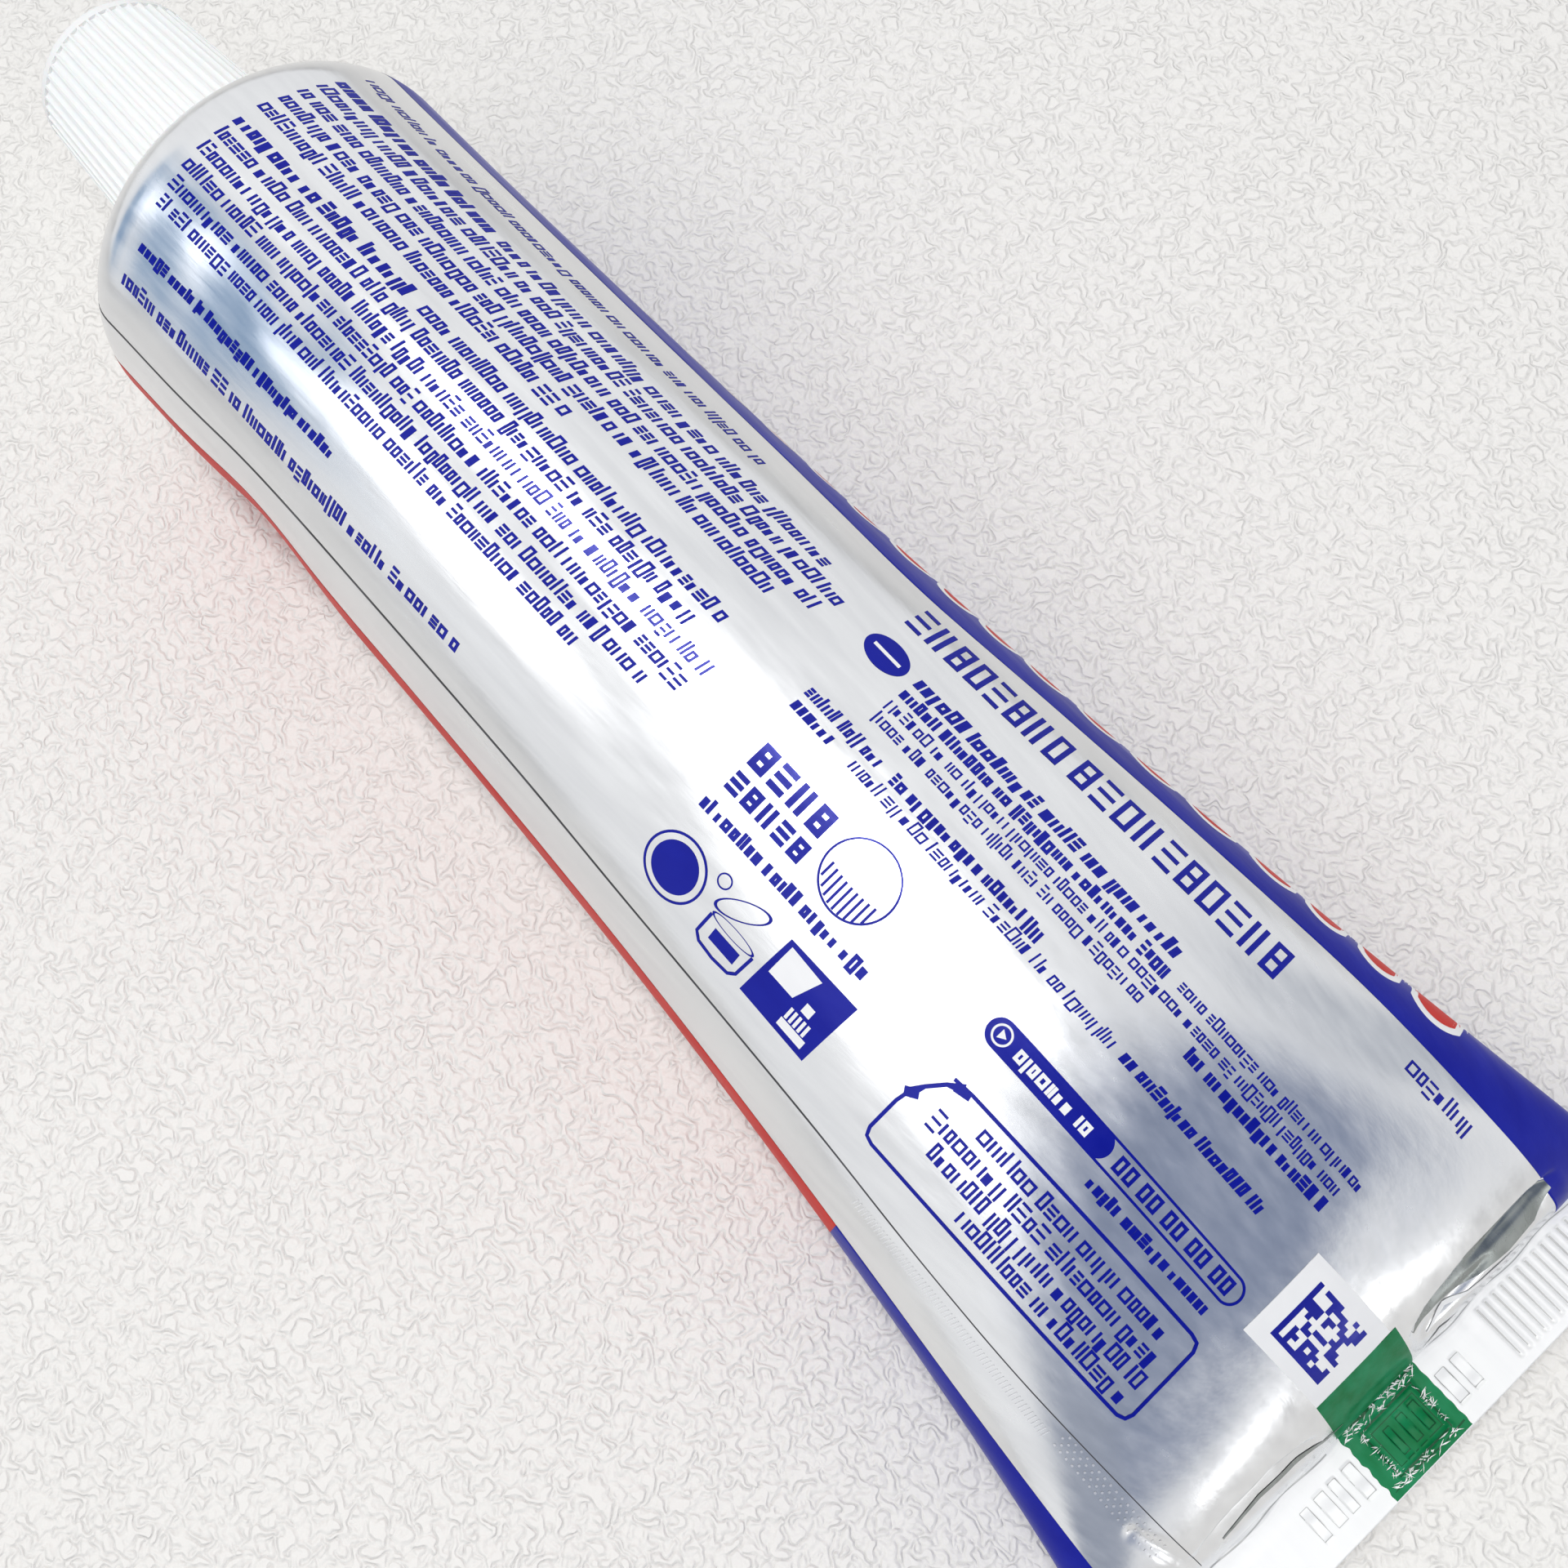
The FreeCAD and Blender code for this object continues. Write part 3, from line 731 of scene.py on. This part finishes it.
# each line: its two ends, its place round the tube, its height, line weight and lean
TEXT = [
    (-52.2, -5.3, 14.7, 1.15, 0.17, 0.15),
    (-52, -32.6, 11.6, 1.25, 0.33, 0.2),
    (-32, 4.2, 11.6, 1.25, 0.22, 0.2),
    (-52, 7.1, 9.85, 1.25, 0.22, 0.2),
    (-52, 6.6, 8.1, 1.25, 0.22, 0.2),
    (-52, 4, 6.4, 1.25, 0.22, 0.2),
    (-52.2, -16, 4.65, 1.25, 0.22, 0.2),
    (-52.2, -30.4, 2.4, 1.3, 0.33, 0.2),
    (-29.8, 3.3, 2.4, 1.25, 0.22, 0.2),
    (-52.3, 1.6, 0.7, 1.25, 0.22, 0.2),
    (-52.3, 5.7, -1.05, 1.25, 0.22, 0.2),
    (-52.2, 5.3, -2.8, 1.25, 0.22, 0.2),
    (-52.1, 2.8, -4.6, 1.25, 0.22, 0.2),
    (-52, -2.6, -6.35, 1.25, 0.22, 0.2),
    (-51.6, -26.8, -10.4, 1.05, 0.3, 0.15),
    (-52.1, -9.8, -13.7, 1.35, 0.27, 0.05),
    (14.7, 41, 9.9, 1.25, 0.31, 0.15),
    (14.7, 41.2, 8.35, 1.05, 0.27, 0),
    (41.8, 60.5, 8.45, 1, 0.15, 0),
    (14.7, 59.4, 7, 1, 0.15, 0),
    (14.8, 41, 5.6, 1, 0.15, 0),
    (45.3, 59.5, 5.5, 1.1, 0.31, 0),
    (10.5, 18.3, 3.3, 1.05, 0.21, 0.15),
    (18.8, 33.7, 3.3, 1.05, 0.27, 0),
    (10.5, 14.8, 1.95, 1.05, 0.31, 0.15),
    (16.2, 42, 1.95, 1.05, 0.15, 0.15),
    (42.4, 56.5, 2, 1.05, 0.27, 0.15),
    (11, 27.5, -7.3, 1.15, 0.31, 0),
    (46.8, 58.5, -5.4, 1, 0.31, 0),
    (39.7, 59, -8.65, 1.35, 0.21, 0),
    (36.7, 59, -10.35, 1.35, 0.21, 0),
    (38.2, 59.2, -12.05, 1.35, 0.21, 0),
    (42.6, 59.5, -13.7, 1.35, 0.21, 0),
    (56.7, 64, 17.9, 1.5, 0.2, 0),
]
for number, (x0, x1, u, tall, weight, lean) in enumerate(TEXT):
    ink.words(x0, x1, u, tall, 100 + number, weight, lean)


def open_box(sheet, x0, x1, u0, u1, weight, rise=0.0):
    """A plain rectangular outline."""
    sheet.block(x0, x0 + weight, u0, u1)
    sheet.block(x1 - weight, x1, u0 + rise, u1 + rise)
    sheet.patch([(x0, u0), (x1, u0 + rise), (x1, u0 + rise + weight), (x0, u0 + weight)])
    sheet.patch([(x0, u1 - weight), (x1, u1 + rise - weight), (x1, u1 + rise), (x0, u1)])


def heading(sheet, x0, x1, u, tall, kinds, weight, rise):
    """A row of large simple marks: b a box, h a box with a bar, p a pair of bars, r rungs."""
    step = (x1 - x0) / len(kinds)
    for number, kind in enumerate(kinds):
        left = x0 + number * step
        low = u - tall / 2 + rise * (left - x0)
        right = left + step * 0.76
        if kind in "bh":
            open_box(sheet, left, right, low, low + tall, weight, rise * step)
        if kind == "h":
            level = low + (tall - weight) * 0.5
            sheet.block(left + weight, right - weight, level, level + weight)
        elif kind == "p":
            for share in (0.0, 0.42):
                sheet.block(left + step * share, left + step * share + weight, low, low + tall)
        elif kind == "r":
            for share in (0.0, 0.5, 1.0):
                level = low + (tall - weight) * share
                sheet.block(left, right, level, level + weight)


# rows of large marks, of one line weight each
heading(ink, 10.6, 25.6, 14.45, 2.95, "rphbrhpb", 0.42, 0.033)
heading(ink, 26.2, 46.4, 15.0, 2.95, "hrbprhbrph", 0.42, 0.03)
heading(ink, 11.4, 18.9, -2.35, 2.1, "hrph", 0.5, 0.0)
heading(ink, 11.4, 19.0, -4.85, 1.6, "rhprh", 0.4, 0.0)

# a plain oval, split by a light cross-bar
ink.ring((11.95, 9.6), 1.9, 0.0, squeeze=0.74)

# round icon with a hatched half
ICON_X, ICON_U = 22.4, -3.2
ink.ring((ICON_X, ICON_U), 2.95, 2.78)
for number in range(9):
    x = 20.2 + number * 0.52
    half = math.sqrt(2.75**2 - (x - ICON_X) ** 2)
    ink.block(x, x + 0.2, ICON_U - half, ICON_U - half * 0.25)

# round icon: a disc in a ring
ink.ring((12.6, -12.4), 2.62, 2.42)
ink.ring((12.6, -12.4), 1.95, 0.0)
ink.ring((15.9, -10.2), 0.6, 0.48)

# a pot with its lid off
ink.ring((18.2, -10.75), 2.25, 2.0, squeeze=0.34, turn=0.56)
ink.ring((18.7, -12.45), 2.1, 1.88, squeeze=0.2)
POT = [
    (16.65, -12.6), (16.55, -14.5), (17.1, -15.0), (18.6, -15.15), (20.1, -15.0), (20.6, -14.5),
    (20.8, -12.6),
]
ink.strip(POT, 0.26)
ink.block(17.5, 20.0, -14.2, -13.2)

# a blue square
SQUARE = [(21.45, -15.05), (27.95, -15.1), (28.3, -9.3), (21.9, -9.4)]
ink.patch(SQUARE, 6, 6)


def pill(sheet, x0, x1, low, high, weight):
    """A rounded outline."""
    r = (high - low) / 2
    middle = (low + high) / 2
    sheet.ring((x0 + r, middle), r, r - weight, 90, 270)
    sheet.ring((x1 - r, middle), r, r - weight, -90, 90)
    for u in (low, high - weight):
        sheet.block(x0 + r, x1 - r, u, u + weight)


# a pill-shaped outline, its first part filled, its second part with open boxes
PILL_LOW, PILL_HIGH = -4.3, -2.05
PILL_HALF = (PILL_HIGH - PILL_LOW) / 2
PILL_U = (PILL_HIGH + PILL_LOW) / 2
pill(ink, 34.9, 59.7, PILL_LOW, PILL_HIGH, 0.2)
ink.block(36.0, 45.4, PILL_LOW, PILL_HIGH)
ink.ring((36.02, PILL_U), PILL_HALF, 0.0, 90, 270)
ink.ring((45.4, PILL_U), PILL_HALF, 0.0, -90, 90)
for number in range(5):
    left = 47.2 + number * 2.42
    for start in (left, left + 1.0):
        open_box(ink, start, start + 0.78, -3.8, -2.55, 0.26)

# a rounded frame with one cut corner
FRAME = [
    (36.0, -7.55), (37.6, -7.4), (45.0, -7.3), (52.0, -7.2), (59.0, -7.15), (59.7, -7.3),
    (60.0, -7.9), (60.15, -10.5), (60.3, -13.9), (60.1, -14.5), (59.5, -14.75), (52.0, -14.95),
    (44.0, -15.1), (35.2, -15.25), (34.55, -15.05), (34.3, -14.4), (34.3, -11.6), (34.5, -10.4),
]
ink.strip(FRAME, 0.28)
ink.strip([(34.5, -10.6), (35.0, -9.4), (35.9, -8.2), (37.0, -7.5)], [0.75, 0.3, 0.3, 0.75])
ink.strip([(34.2, -10.7), (35.1, -10.1)], 0.7)
ink.strip([(36.4, -7.9), (37.6, -7.6)], 0.6)

# the printed code field on the label, a random pattern of squares
label = Sheet("print_label", WHITE, 0.018)
LABEL = [(61.25, -4.3), (69.5, -3.9), (69.3, 3.7), (61.2, 3.15)]
label.patch(LABEL, 8, 8)
dice = random.Random(5)
CELLS = 12


def label_point(i, j):
    """A corner of the code field's grid."""
    return (62.75 + i * 5.3 / CELLS, -3.05 + j * 5.05 / CELLS + i * 0.02)


for i in range(CELLS):
    for j in range(CELLS):
        if i == 0 or j == 0 or dice.random() < 0.5:
            square = ((i, j), (i + 1, j), (i + 1, j + 1), (i, j + 1))
            ink.patch([label_point(*corner) for corner in square])
label.build()
ink.build()

# light shapes inside the dark ones
paper = Sheet("print_light", WHITE, 0.032)
paper.patch([(22.2, -12.3), (24.6, -12.3), (25.4, -9.9), (22.3, -9.75)], 3, 3)
paper.block(24.9, 27.3, -14.6, -13.9)
for number in range(5):
    paper.block(25.0 + number * 0.42, 25.25 + number * 0.42, -13.8, -12.8)
paper.block(25.6, 26.4, -12.5, -11.7)
paper.ring((36.1, PILL_U), 0.78, 0.62)
paper.shape([(35.9, -3.55), (35.9, -2.8), (36.5, PILL_U)])
paper.words(37.6, 45.2, -3.15, 1.25, 71, 0.26)
paper.block(10.7, 13.2, 9.45, 9.75)
paper.build()

# the green field, which runs over the seal
GREEN_LOW = [
    (72.0 + 0.35 * n, -3.55 + 0.12 * math.sin(2.3 * n) + 0.07 * math.sin(5.1 * n))
    for n in range(26)
]
GREEN_HIGH = [
    (72.0 + 0.35 * n, 4.65 + 0.12 * math.sin(1.9 * n + 1) + 0.08 * math.sin(4.3 * n))
    for n in range(26)
]
green = Sheet("print_green", GREEN, 0.018)
field(green, rows_between(69.35, SEAL_X), skin_u, -3.9, 4.2)
green.build()
green_seal = Sheet("print_green_seal", GREEN, 0.018)
field(green_seal, seal_x[1:-1], seal_y, GREEN_LOW, GREEN_HIGH)
green_seal.build()

# the fold's facet, and a thin facet on the -Y side, in a dark laminate: painted shade; pale strips
# along the edges of its creases: painted highlights
fold = Sheet("fold_facet_shade", PAINTED_FOLD_SHADE, 0.045)
FOLD_LINE = [
    (71.2, 5.2), (70.8, 6.6), (70.45, 9.0), (70.25, 12.0), (70.25, 15.0), (70.35, 18.0),
    (70.6, 20.6),
]
FOLD_WIDTH = [0.12, 0.5, 1.1, 1.7, 2.0, 1.8, 0.8]
fold.strip([(x + w / 2, u) for (x, u), w in zip(FOLD_LINE, FOLD_WIDTH)], FOLD_WIDTH, 14)
fold.strip([(72.2, -3.0), (71.9, -7.0), (71.8, -11.0), (72.2, -15.0)], [0.08, 0.3, 0.25, 0.08], 4)
fold.build()
# pale strips along the fold line and its creases: painted highlights
edges = Sheet("fold_edge_highlights", SEAL_SILVER, 0.06)
edges.strip([(x - 0.1, u) for x, u in FOLD_LINE], 0.12)
FOLD_HIGHLIGHT_LINE = [(72.2, 6.2), (71.8, 8.5), (72.2, 10.5), (72.4, 13.0), (72.6, 16.0)]
edges.strip(FOLD_HIGHLIGHT_LINE, [0.05, 0.26, 0.12, 0.2, 0.06])
edges.strip([(73.0, 5.4), (72.7, 7.2), (72.9, 9.2)], [0.06, 0.26, 0.06])
edges.build()


def outline(sheet, x0, x1, u0, u1, weight):
    """A closed rectangle of one line."""
    sheet.strip([(x0, u0), (x1, u0), (x1, u1), (x0, u1), (x0, u0)], weight)


# painted shade: darker green lines where the green ink is pressed, as two frames and plain boxes
# in them, and two wavy lines across the green near the seal's two edges
pressed = Sheet("print_green_press_shade", GREEN_PRESS_SHADE, 0.03)
pressed.strip([(75.0, -2.0), (79.0, -2.05), (79.05, 3.4), (75.0, 3.45), (75.0, -2.0)], 0.15)
outline(pressed, 75.5, 78.5, -1.5, 2.95, 0.07)
for place, wide in MARKS_IN_FRAME:
    outline(pressed, 75.9, 78.1, place - wide, place + wide, 0.09)
pressed.strip([(73.9, -3.4), (74.2, -1.0), (74.0, 1.4), (74.3, 4.4)], [0.04, 0.22, 0.1, 0.2])
pressed.strip([(79.45, -3.2), (79.3, -0.4), (79.5, 2.0), (79.35, 4.4)], [0.04, 0.2, 0.08, 0.16])
pressed.build()


def line_along(sheet, x0, x1, u, first, last, along):
    """A thin line along the tube. first and last are its half widths at the two ends."""
    sheet.patch([(x0, u - first), (x1, u - last), (x1, u + last), (x0, u + first)], along, 1)


# painted shade as grey lines: on the floors of the pressed grooves, round the low marks as plain
# outlines, and two wavy lines along the seal's inner edge
groove_shade = Sheet("seal_groove_shade", GROOVE_SHADE, 0.012)
for side in RIB_PLACES:
    line_along(groove_shade, 74.8, 79.0, side, 0.09, 0.05, 14)
for place, wide in MARKS_BESIDE:
    for side in (place - wide, place + wide):
        line_along(groove_shade, 75.8, 78.4, side, 0.04, 0.02, 10)
    for level in (75.75, 78.35):
        after = level + 0.06
        low, high = place - wide, place + wide
        groove_shade.patch([(level, low), (after, low), (after, high), (level, high)], 1, 4)
for away, wave, turn, start, end, wide in (
    (0.35, 0.12, 0.9, 5.5, 26.5, 0.1),
    (0.45, 0.14, 0.8, -26.0, -4.5, 0.12),
):
    ys = np.arange(start, end, 0.7)
    groove_shade.strip([(SEAL_X + away + wave * math.sin(turn * y), y) for y in ys], wide)
groove_shade.build()

# pale flecks where the green ink is creased: painted glints on its crumples and the pressed frame,
# and ink cracked off to the silver
glints_and_cracks = Sheet("print_glints_and_cracks", SEAL_SILVER, 0.045)
dice = random.Random(21)
FRAME_LANES = (75.2, 78.9)
GLINT_AND_CRACK_LANES = (73.9, 74.2, 74.6, 74.6, 79.2, 79.4, *FRAME_LANES)
for _ in range(210):
    side = dice.uniform(-3.3, 4.4)
    lane = dice.choice(GLINT_AND_CRACK_LANES)
    if lane in FRAME_LANES:
        side = dice.choice((-2.1, 3.5)) + dice.gauss(0, 0.12)
        lane = dice.uniform(FRAME_START_X, FRAME_END_X)
    place = lane + dice.gauss(0, 0.13)
    turn = dice.gauss(0, 0.6)
    long_half, wide_half = dice.uniform(0.08, 0.5), dice.uniform(0.015, 0.06)
    ahead = np.array([math.sin(turn), math.cos(turn)]) * long_half
    aside = np.array([math.cos(turn), -math.sin(turn)]) * wide_half
    middle = np.array([place, side])
    bend = aside * dice.uniform(-1.5, 1.5)
    glints_and_cracks.shape([middle - ahead, middle - aside + bend, middle + ahead, middle + aside + bend])
glints_and_cracks.build()

# the side seam: a dark line of painted shadow where one layer laps over the other
seam = Sheet("seam_line", PAINTED_SEAM_SHADOW, 0.016)
seam_x = np.linspace(-57.5, 72.5, 170)
seam_u = boundary(seam_x, SEAM_LINE)
seam_w = np.interp(seam_x, [-57, -40, 0, 30, 45, 72], [0.2, 0.24, 0.22, 0.16, 0.1, 0.07])
seam.strip(list(zip(seam_x, seam_u)), list(seam_w))
seam.build()
dots = Sheet("seam_dots", KNURL, 0.02)
for i in range(18):
    for j in range(4):
        dots.ring((58.2 + i * 0.62 + (j % 2) * 0.31, -19.7 + j * 0.42), 0.1, 0.0)
for i in range(60):
    dots.block(37.0 + i * 0.34, 37.09 + i * 0.34, -20.1, -19.3, 0.2)
dots.build()

# cap and neck
for name, material in (
    ("shoulder_nozzle", NOZZLE_WHITE),
    ("screw_cap", CAP_WHITE),
    ("tube_body", SILVER),
):
    mesh = nodes[name].data
    mesh.materials.clear()
    mesh.materials.append(material)


THREAD_PITCH = 3.0
THREAD_SUNK = 0.05
TURN_STEPS = 48
FADE_STEPS = 12


def thread(name, root, crest, x0, x1, width, body, material):
    """A screw ridge round the tube's axis, tapered at both ends and sunk a little in its wall."""
    steps = int((x1 - x0) / THREAD_PITCH * TURN_STEPS)
    foot = root - math.copysign(THREAD_SUNK, crest - root)
    points = []
    for step in range(steps + 1):
        share = step / steps
        angle = 2 * math.pi * step / TURN_STEPS
        fade = min(1, share * steps / FADE_STEPS, (1 - share) * steps / FADE_STEPS)
        top = root + (crest - root) * max(fade, 0.02)
        middle = x0 + (x1 - x0) * share
        for across, r in ((-0.5, foot), (-0.2, top), (0.2, top), (0.5, foot)):
            y, z = r * math.sin(angle), AXIS_HEIGHT + r * math.cos(angle)
            points.append((middle + across * width, y, z))
    faces = grid_faces(steps + 1, 4)
    faces += [(0, 1, 2, 3), tuple(len(points) - 4 + v for v in (3, 2, 1, 0))]
    add_mesh(name, points, faces, body, material)


thread("neck_thread", 5.9, 6.25, -72.0, -64.5, 1.2, "tube", NOZZLE_WHITE)
thread("cap_thread", 6.75, 6.4, -73.5, -63.0, 1.0, "cap", CAP_WHITE)


# the floor's size, how far it lies under the object, and where it fades, in metres
FLOOR_SIZE = 4.0
FLOOR_DROP = 0.0002
FLOOR_NEAR = 0.16
FLOOR_FAR = 0.75
FLOOR_LIGHT = (0.875, 0.855, 0.82)
FLOOR_DARK = (0.855, 0.835, 0.80)


def floor():
    """A plain pale floor, leathery near the object, which fades into the white background."""
    bpy.ops.mesh.primitive_plane_add(size=FLOOR_SIZE, location=(0, 0, -FLOOR_DROP))
    plane = bpy.context.object
    plane.name = "floor"
    material, tree, shader = new_material("floor_pale", FLOOR_LIGHT, 0.7)
    shader.inputs["Specular IOR Level"].default_value = 0.15
    place = add_node(tree, "ShaderNodeTexCoord").outputs["Object"]
    soft = noise(tree, place, 12, (1, 1, 1), 2.0)
    mixed = tint(tree, spread(tree, soft, 0, 1), FLOOR_LIGHT, FLOOR_DARK)
    tree.links.new(mixed, shader.inputs["Base Color"])
    texture = add_node(tree, "ShaderNodeTexNoise", Scale=860.0, Detail=0.0, Distortion=0.9)
    tree.links.new(place, texture.inputs["Vector"])
    ridge = combine(tree, "ABSOLUTE", combine(tree, "SUBTRACT", texture.outputs["Fac"], 0.5))
    groove = spread(tree, ridge, 0.0, 1.0, 0.0, 0.19)
    swell = noise(tree, place, 700, (1, 1, 1), 3.0)
    bump(tree, shader, [(swell, 0.6, 0.0004), (groove, 0.58, 0.0003)])
    far = add_node(tree, "ShaderNodeVectorMath", operation="LENGTH")
    tree.links.new(place, far.inputs[0])
    path = add_node(tree, "ShaderNodeLightPath")
    share = spread(tree, far.outputs["Value"], 0, 1, FLOOR_NEAR, FLOOR_FAR)
    paler = combine(tree, "MULTIPLY", share, path.outputs["Is Camera Ray"])
    white = add_node(tree, "ShaderNodeEmission", Color=(1, 1, 1, 1), Strength=1.0)
    blend = add_node(tree, "ShaderNodeMixShader")
    tree.links.new(paler, blend.inputs[0])
    tree.links.new(shader.outputs[0], blend.inputs[1])
    tree.links.new(white.outputs[0], blend.inputs[2])
    tree.links.new(blend.outputs[0], tree.nodes["Material Output"].inputs["Surface"])
    plane.data.materials.append(material)


def area_lamp(name, place, target, size, power):
    """A soft rectangular lamp aimed at a point. Places are metres."""
    data = bpy.data.lights.new(name, "AREA")
    data.shape = "RECTANGLE"
    data.size, data.size_y = size
    data.energy = power
    lamp = bpy.data.objects.new(name, data)
    way = Vector(target) - Vector(place)
    turn = way.to_track_quat("-Z", "Y").to_matrix().to_4x4()
    lamp.matrix_world = Matrix.Translation(place) @ turn
    bpy.context.scene.collection.objects.link(lamp)


def world_light():
    """A pale room with softly shaded sides, fainter for the light that it gives."""
    world = bpy.data.worlds.new("room")
    bpy.context.scene.world = world
    world.use_nodes = True
    tree = world.node_tree
    background = tree.nodes["Background"]
    place = add_node(tree, "ShaderNodeTexCoord").outputs["Generated"]
    last = ROOM_COLOR
    for direction, stretch, color in ROOM_SHADES:
        offset = add_node(tree, "ShaderNodeVectorMath", operation="SUBTRACT")
        offset.inputs[1].default_value = Vector(direction).normalized()
        tree.links.new(place, offset.inputs[0])
        mapping = add_node(tree, "ShaderNodeMapping")
        mapping.inputs["Scale"].default_value = [1 / v for v in stretch]
        tree.links.new(offset.outputs[0], mapping.inputs["Vector"])
        far = add_node(tree, "ShaderNodeVectorMath", operation="LENGTH")
        tree.links.new(mapping.outputs["Vector"], far.inputs[0])
        share = spread(tree, far.outputs["Value"], 0, 1, *SHADE_EDGE)
        last = tint(tree, share, color, last)
    path = add_node(tree, "ShaderNodeLightPath")
    seen = path.outputs["Is Camera Ray"]
    tree.links.new(tint(tree, seen, last, (1, 1, 1)), background.inputs["Color"])
    for kind in ("Is Glossy Ray", "Is Transmission Ray"):
        seen = combine(tree, "MAXIMUM", seen, path.outputs[kind])
    tree.links.new(spread(tree, seen, ROOM_LIGHT, 1.0, 0, 1), background.inputs["Strength"])


# how strongly the room lights the object, where a shade fades as a share of its reach, the
# room's plain colour, and its shades: direction, reach along X, Y and Z, and colour
ROOM_LIGHT = 0.62
SHADE_EDGE = (0.75, 1.15)
ROOM_COLOR = (0.96, 0.968, 0.98)
ROOM_SHADES = [
    ((0.79, -0.12, 0.59), (0.33, 0.94, 0.40), (0.23, 0.28, 0.41)),
    ((0.50, 0.85, 0.22), (0.17, 0.30, 0.40), (0.55, 0.58, 0.64)),
    ((0.75, -0.60, 0.25), (0.26, 0.30, 0.36), (0.32, 0.36, 0.45)),
    ((-0.63, -0.54, 0.47), (0.15, 0.44, 0.50), (0.23, 0.37, 0.57)),
]


CAMERA_PLACE = (39.9671, -13.4927, 131.5232)
CAMERA_TARGET = (6.4566, 0.8458, 0.0)
CAMERA_ROLL = -0.3485
CAMERA_LENS = 35.577


def photo_camera():
    """The camera that was solved from the photo, for a square frame."""
    place = Vector(CAMERA_PLACE) * MM
    way = (Vector(CAMERA_TARGET) * MM - place).normalized()
    right = way.cross(Vector((0, 0, 1))).normalized()
    up = right.cross(way)
    c, s = math.cos(CAMERA_ROLL), math.sin(CAMERA_ROLL)
    turned_right = right * c + up * s
    turned_up = -right * s + up * c
    data = bpy.data.cameras.new("photo_camera")
    data.sensor_width = 36
    data.sensor_fit = "HORIZONTAL"
    data.lens = CAMERA_LENS
    data.clip_start = 0.005
    camera = bpy.data.objects.new("photo_camera", data)
    basis = Matrix((turned_right, turned_up, -way)).transposed().to_4x4()
    camera.matrix_world = Matrix.Translation(place) @ basis
    bpy.context.scene.collection.objects.link(camera)
    bpy.context.scene.camera = camera


floor()
world_light()
area_lamp("top_strip", (0.0, 0.02, 0.50), (0.0, 0.0, 0.0), (0.50, 0.045), 0.95)
area_lamp("top_softbox", (0.10, -0.16, 0.52), (0.04, -0.04, 0.0), (0.36, 0.60), 0.70)
area_lamp("side_softbox", (-0.31, -0.42, 0.48), (0.0, 0.0, 0.02), (0.30, 0.24), 0.30)
area_lamp("end_softbox", (0.60, 0.115, 0.03), (0.0, 0.0, 0.01), (0.085, 0.05), 0.050)
area_lamp("end_softbox_low", (0.60, -0.05, 0.03), (0.0, 0.0, 0.01), (0.08, 0.05), 0.03)
photo_camera()
bpy.context.scene.view_settings.view_transform = "Standard"

bpy.context.view_layer.update()
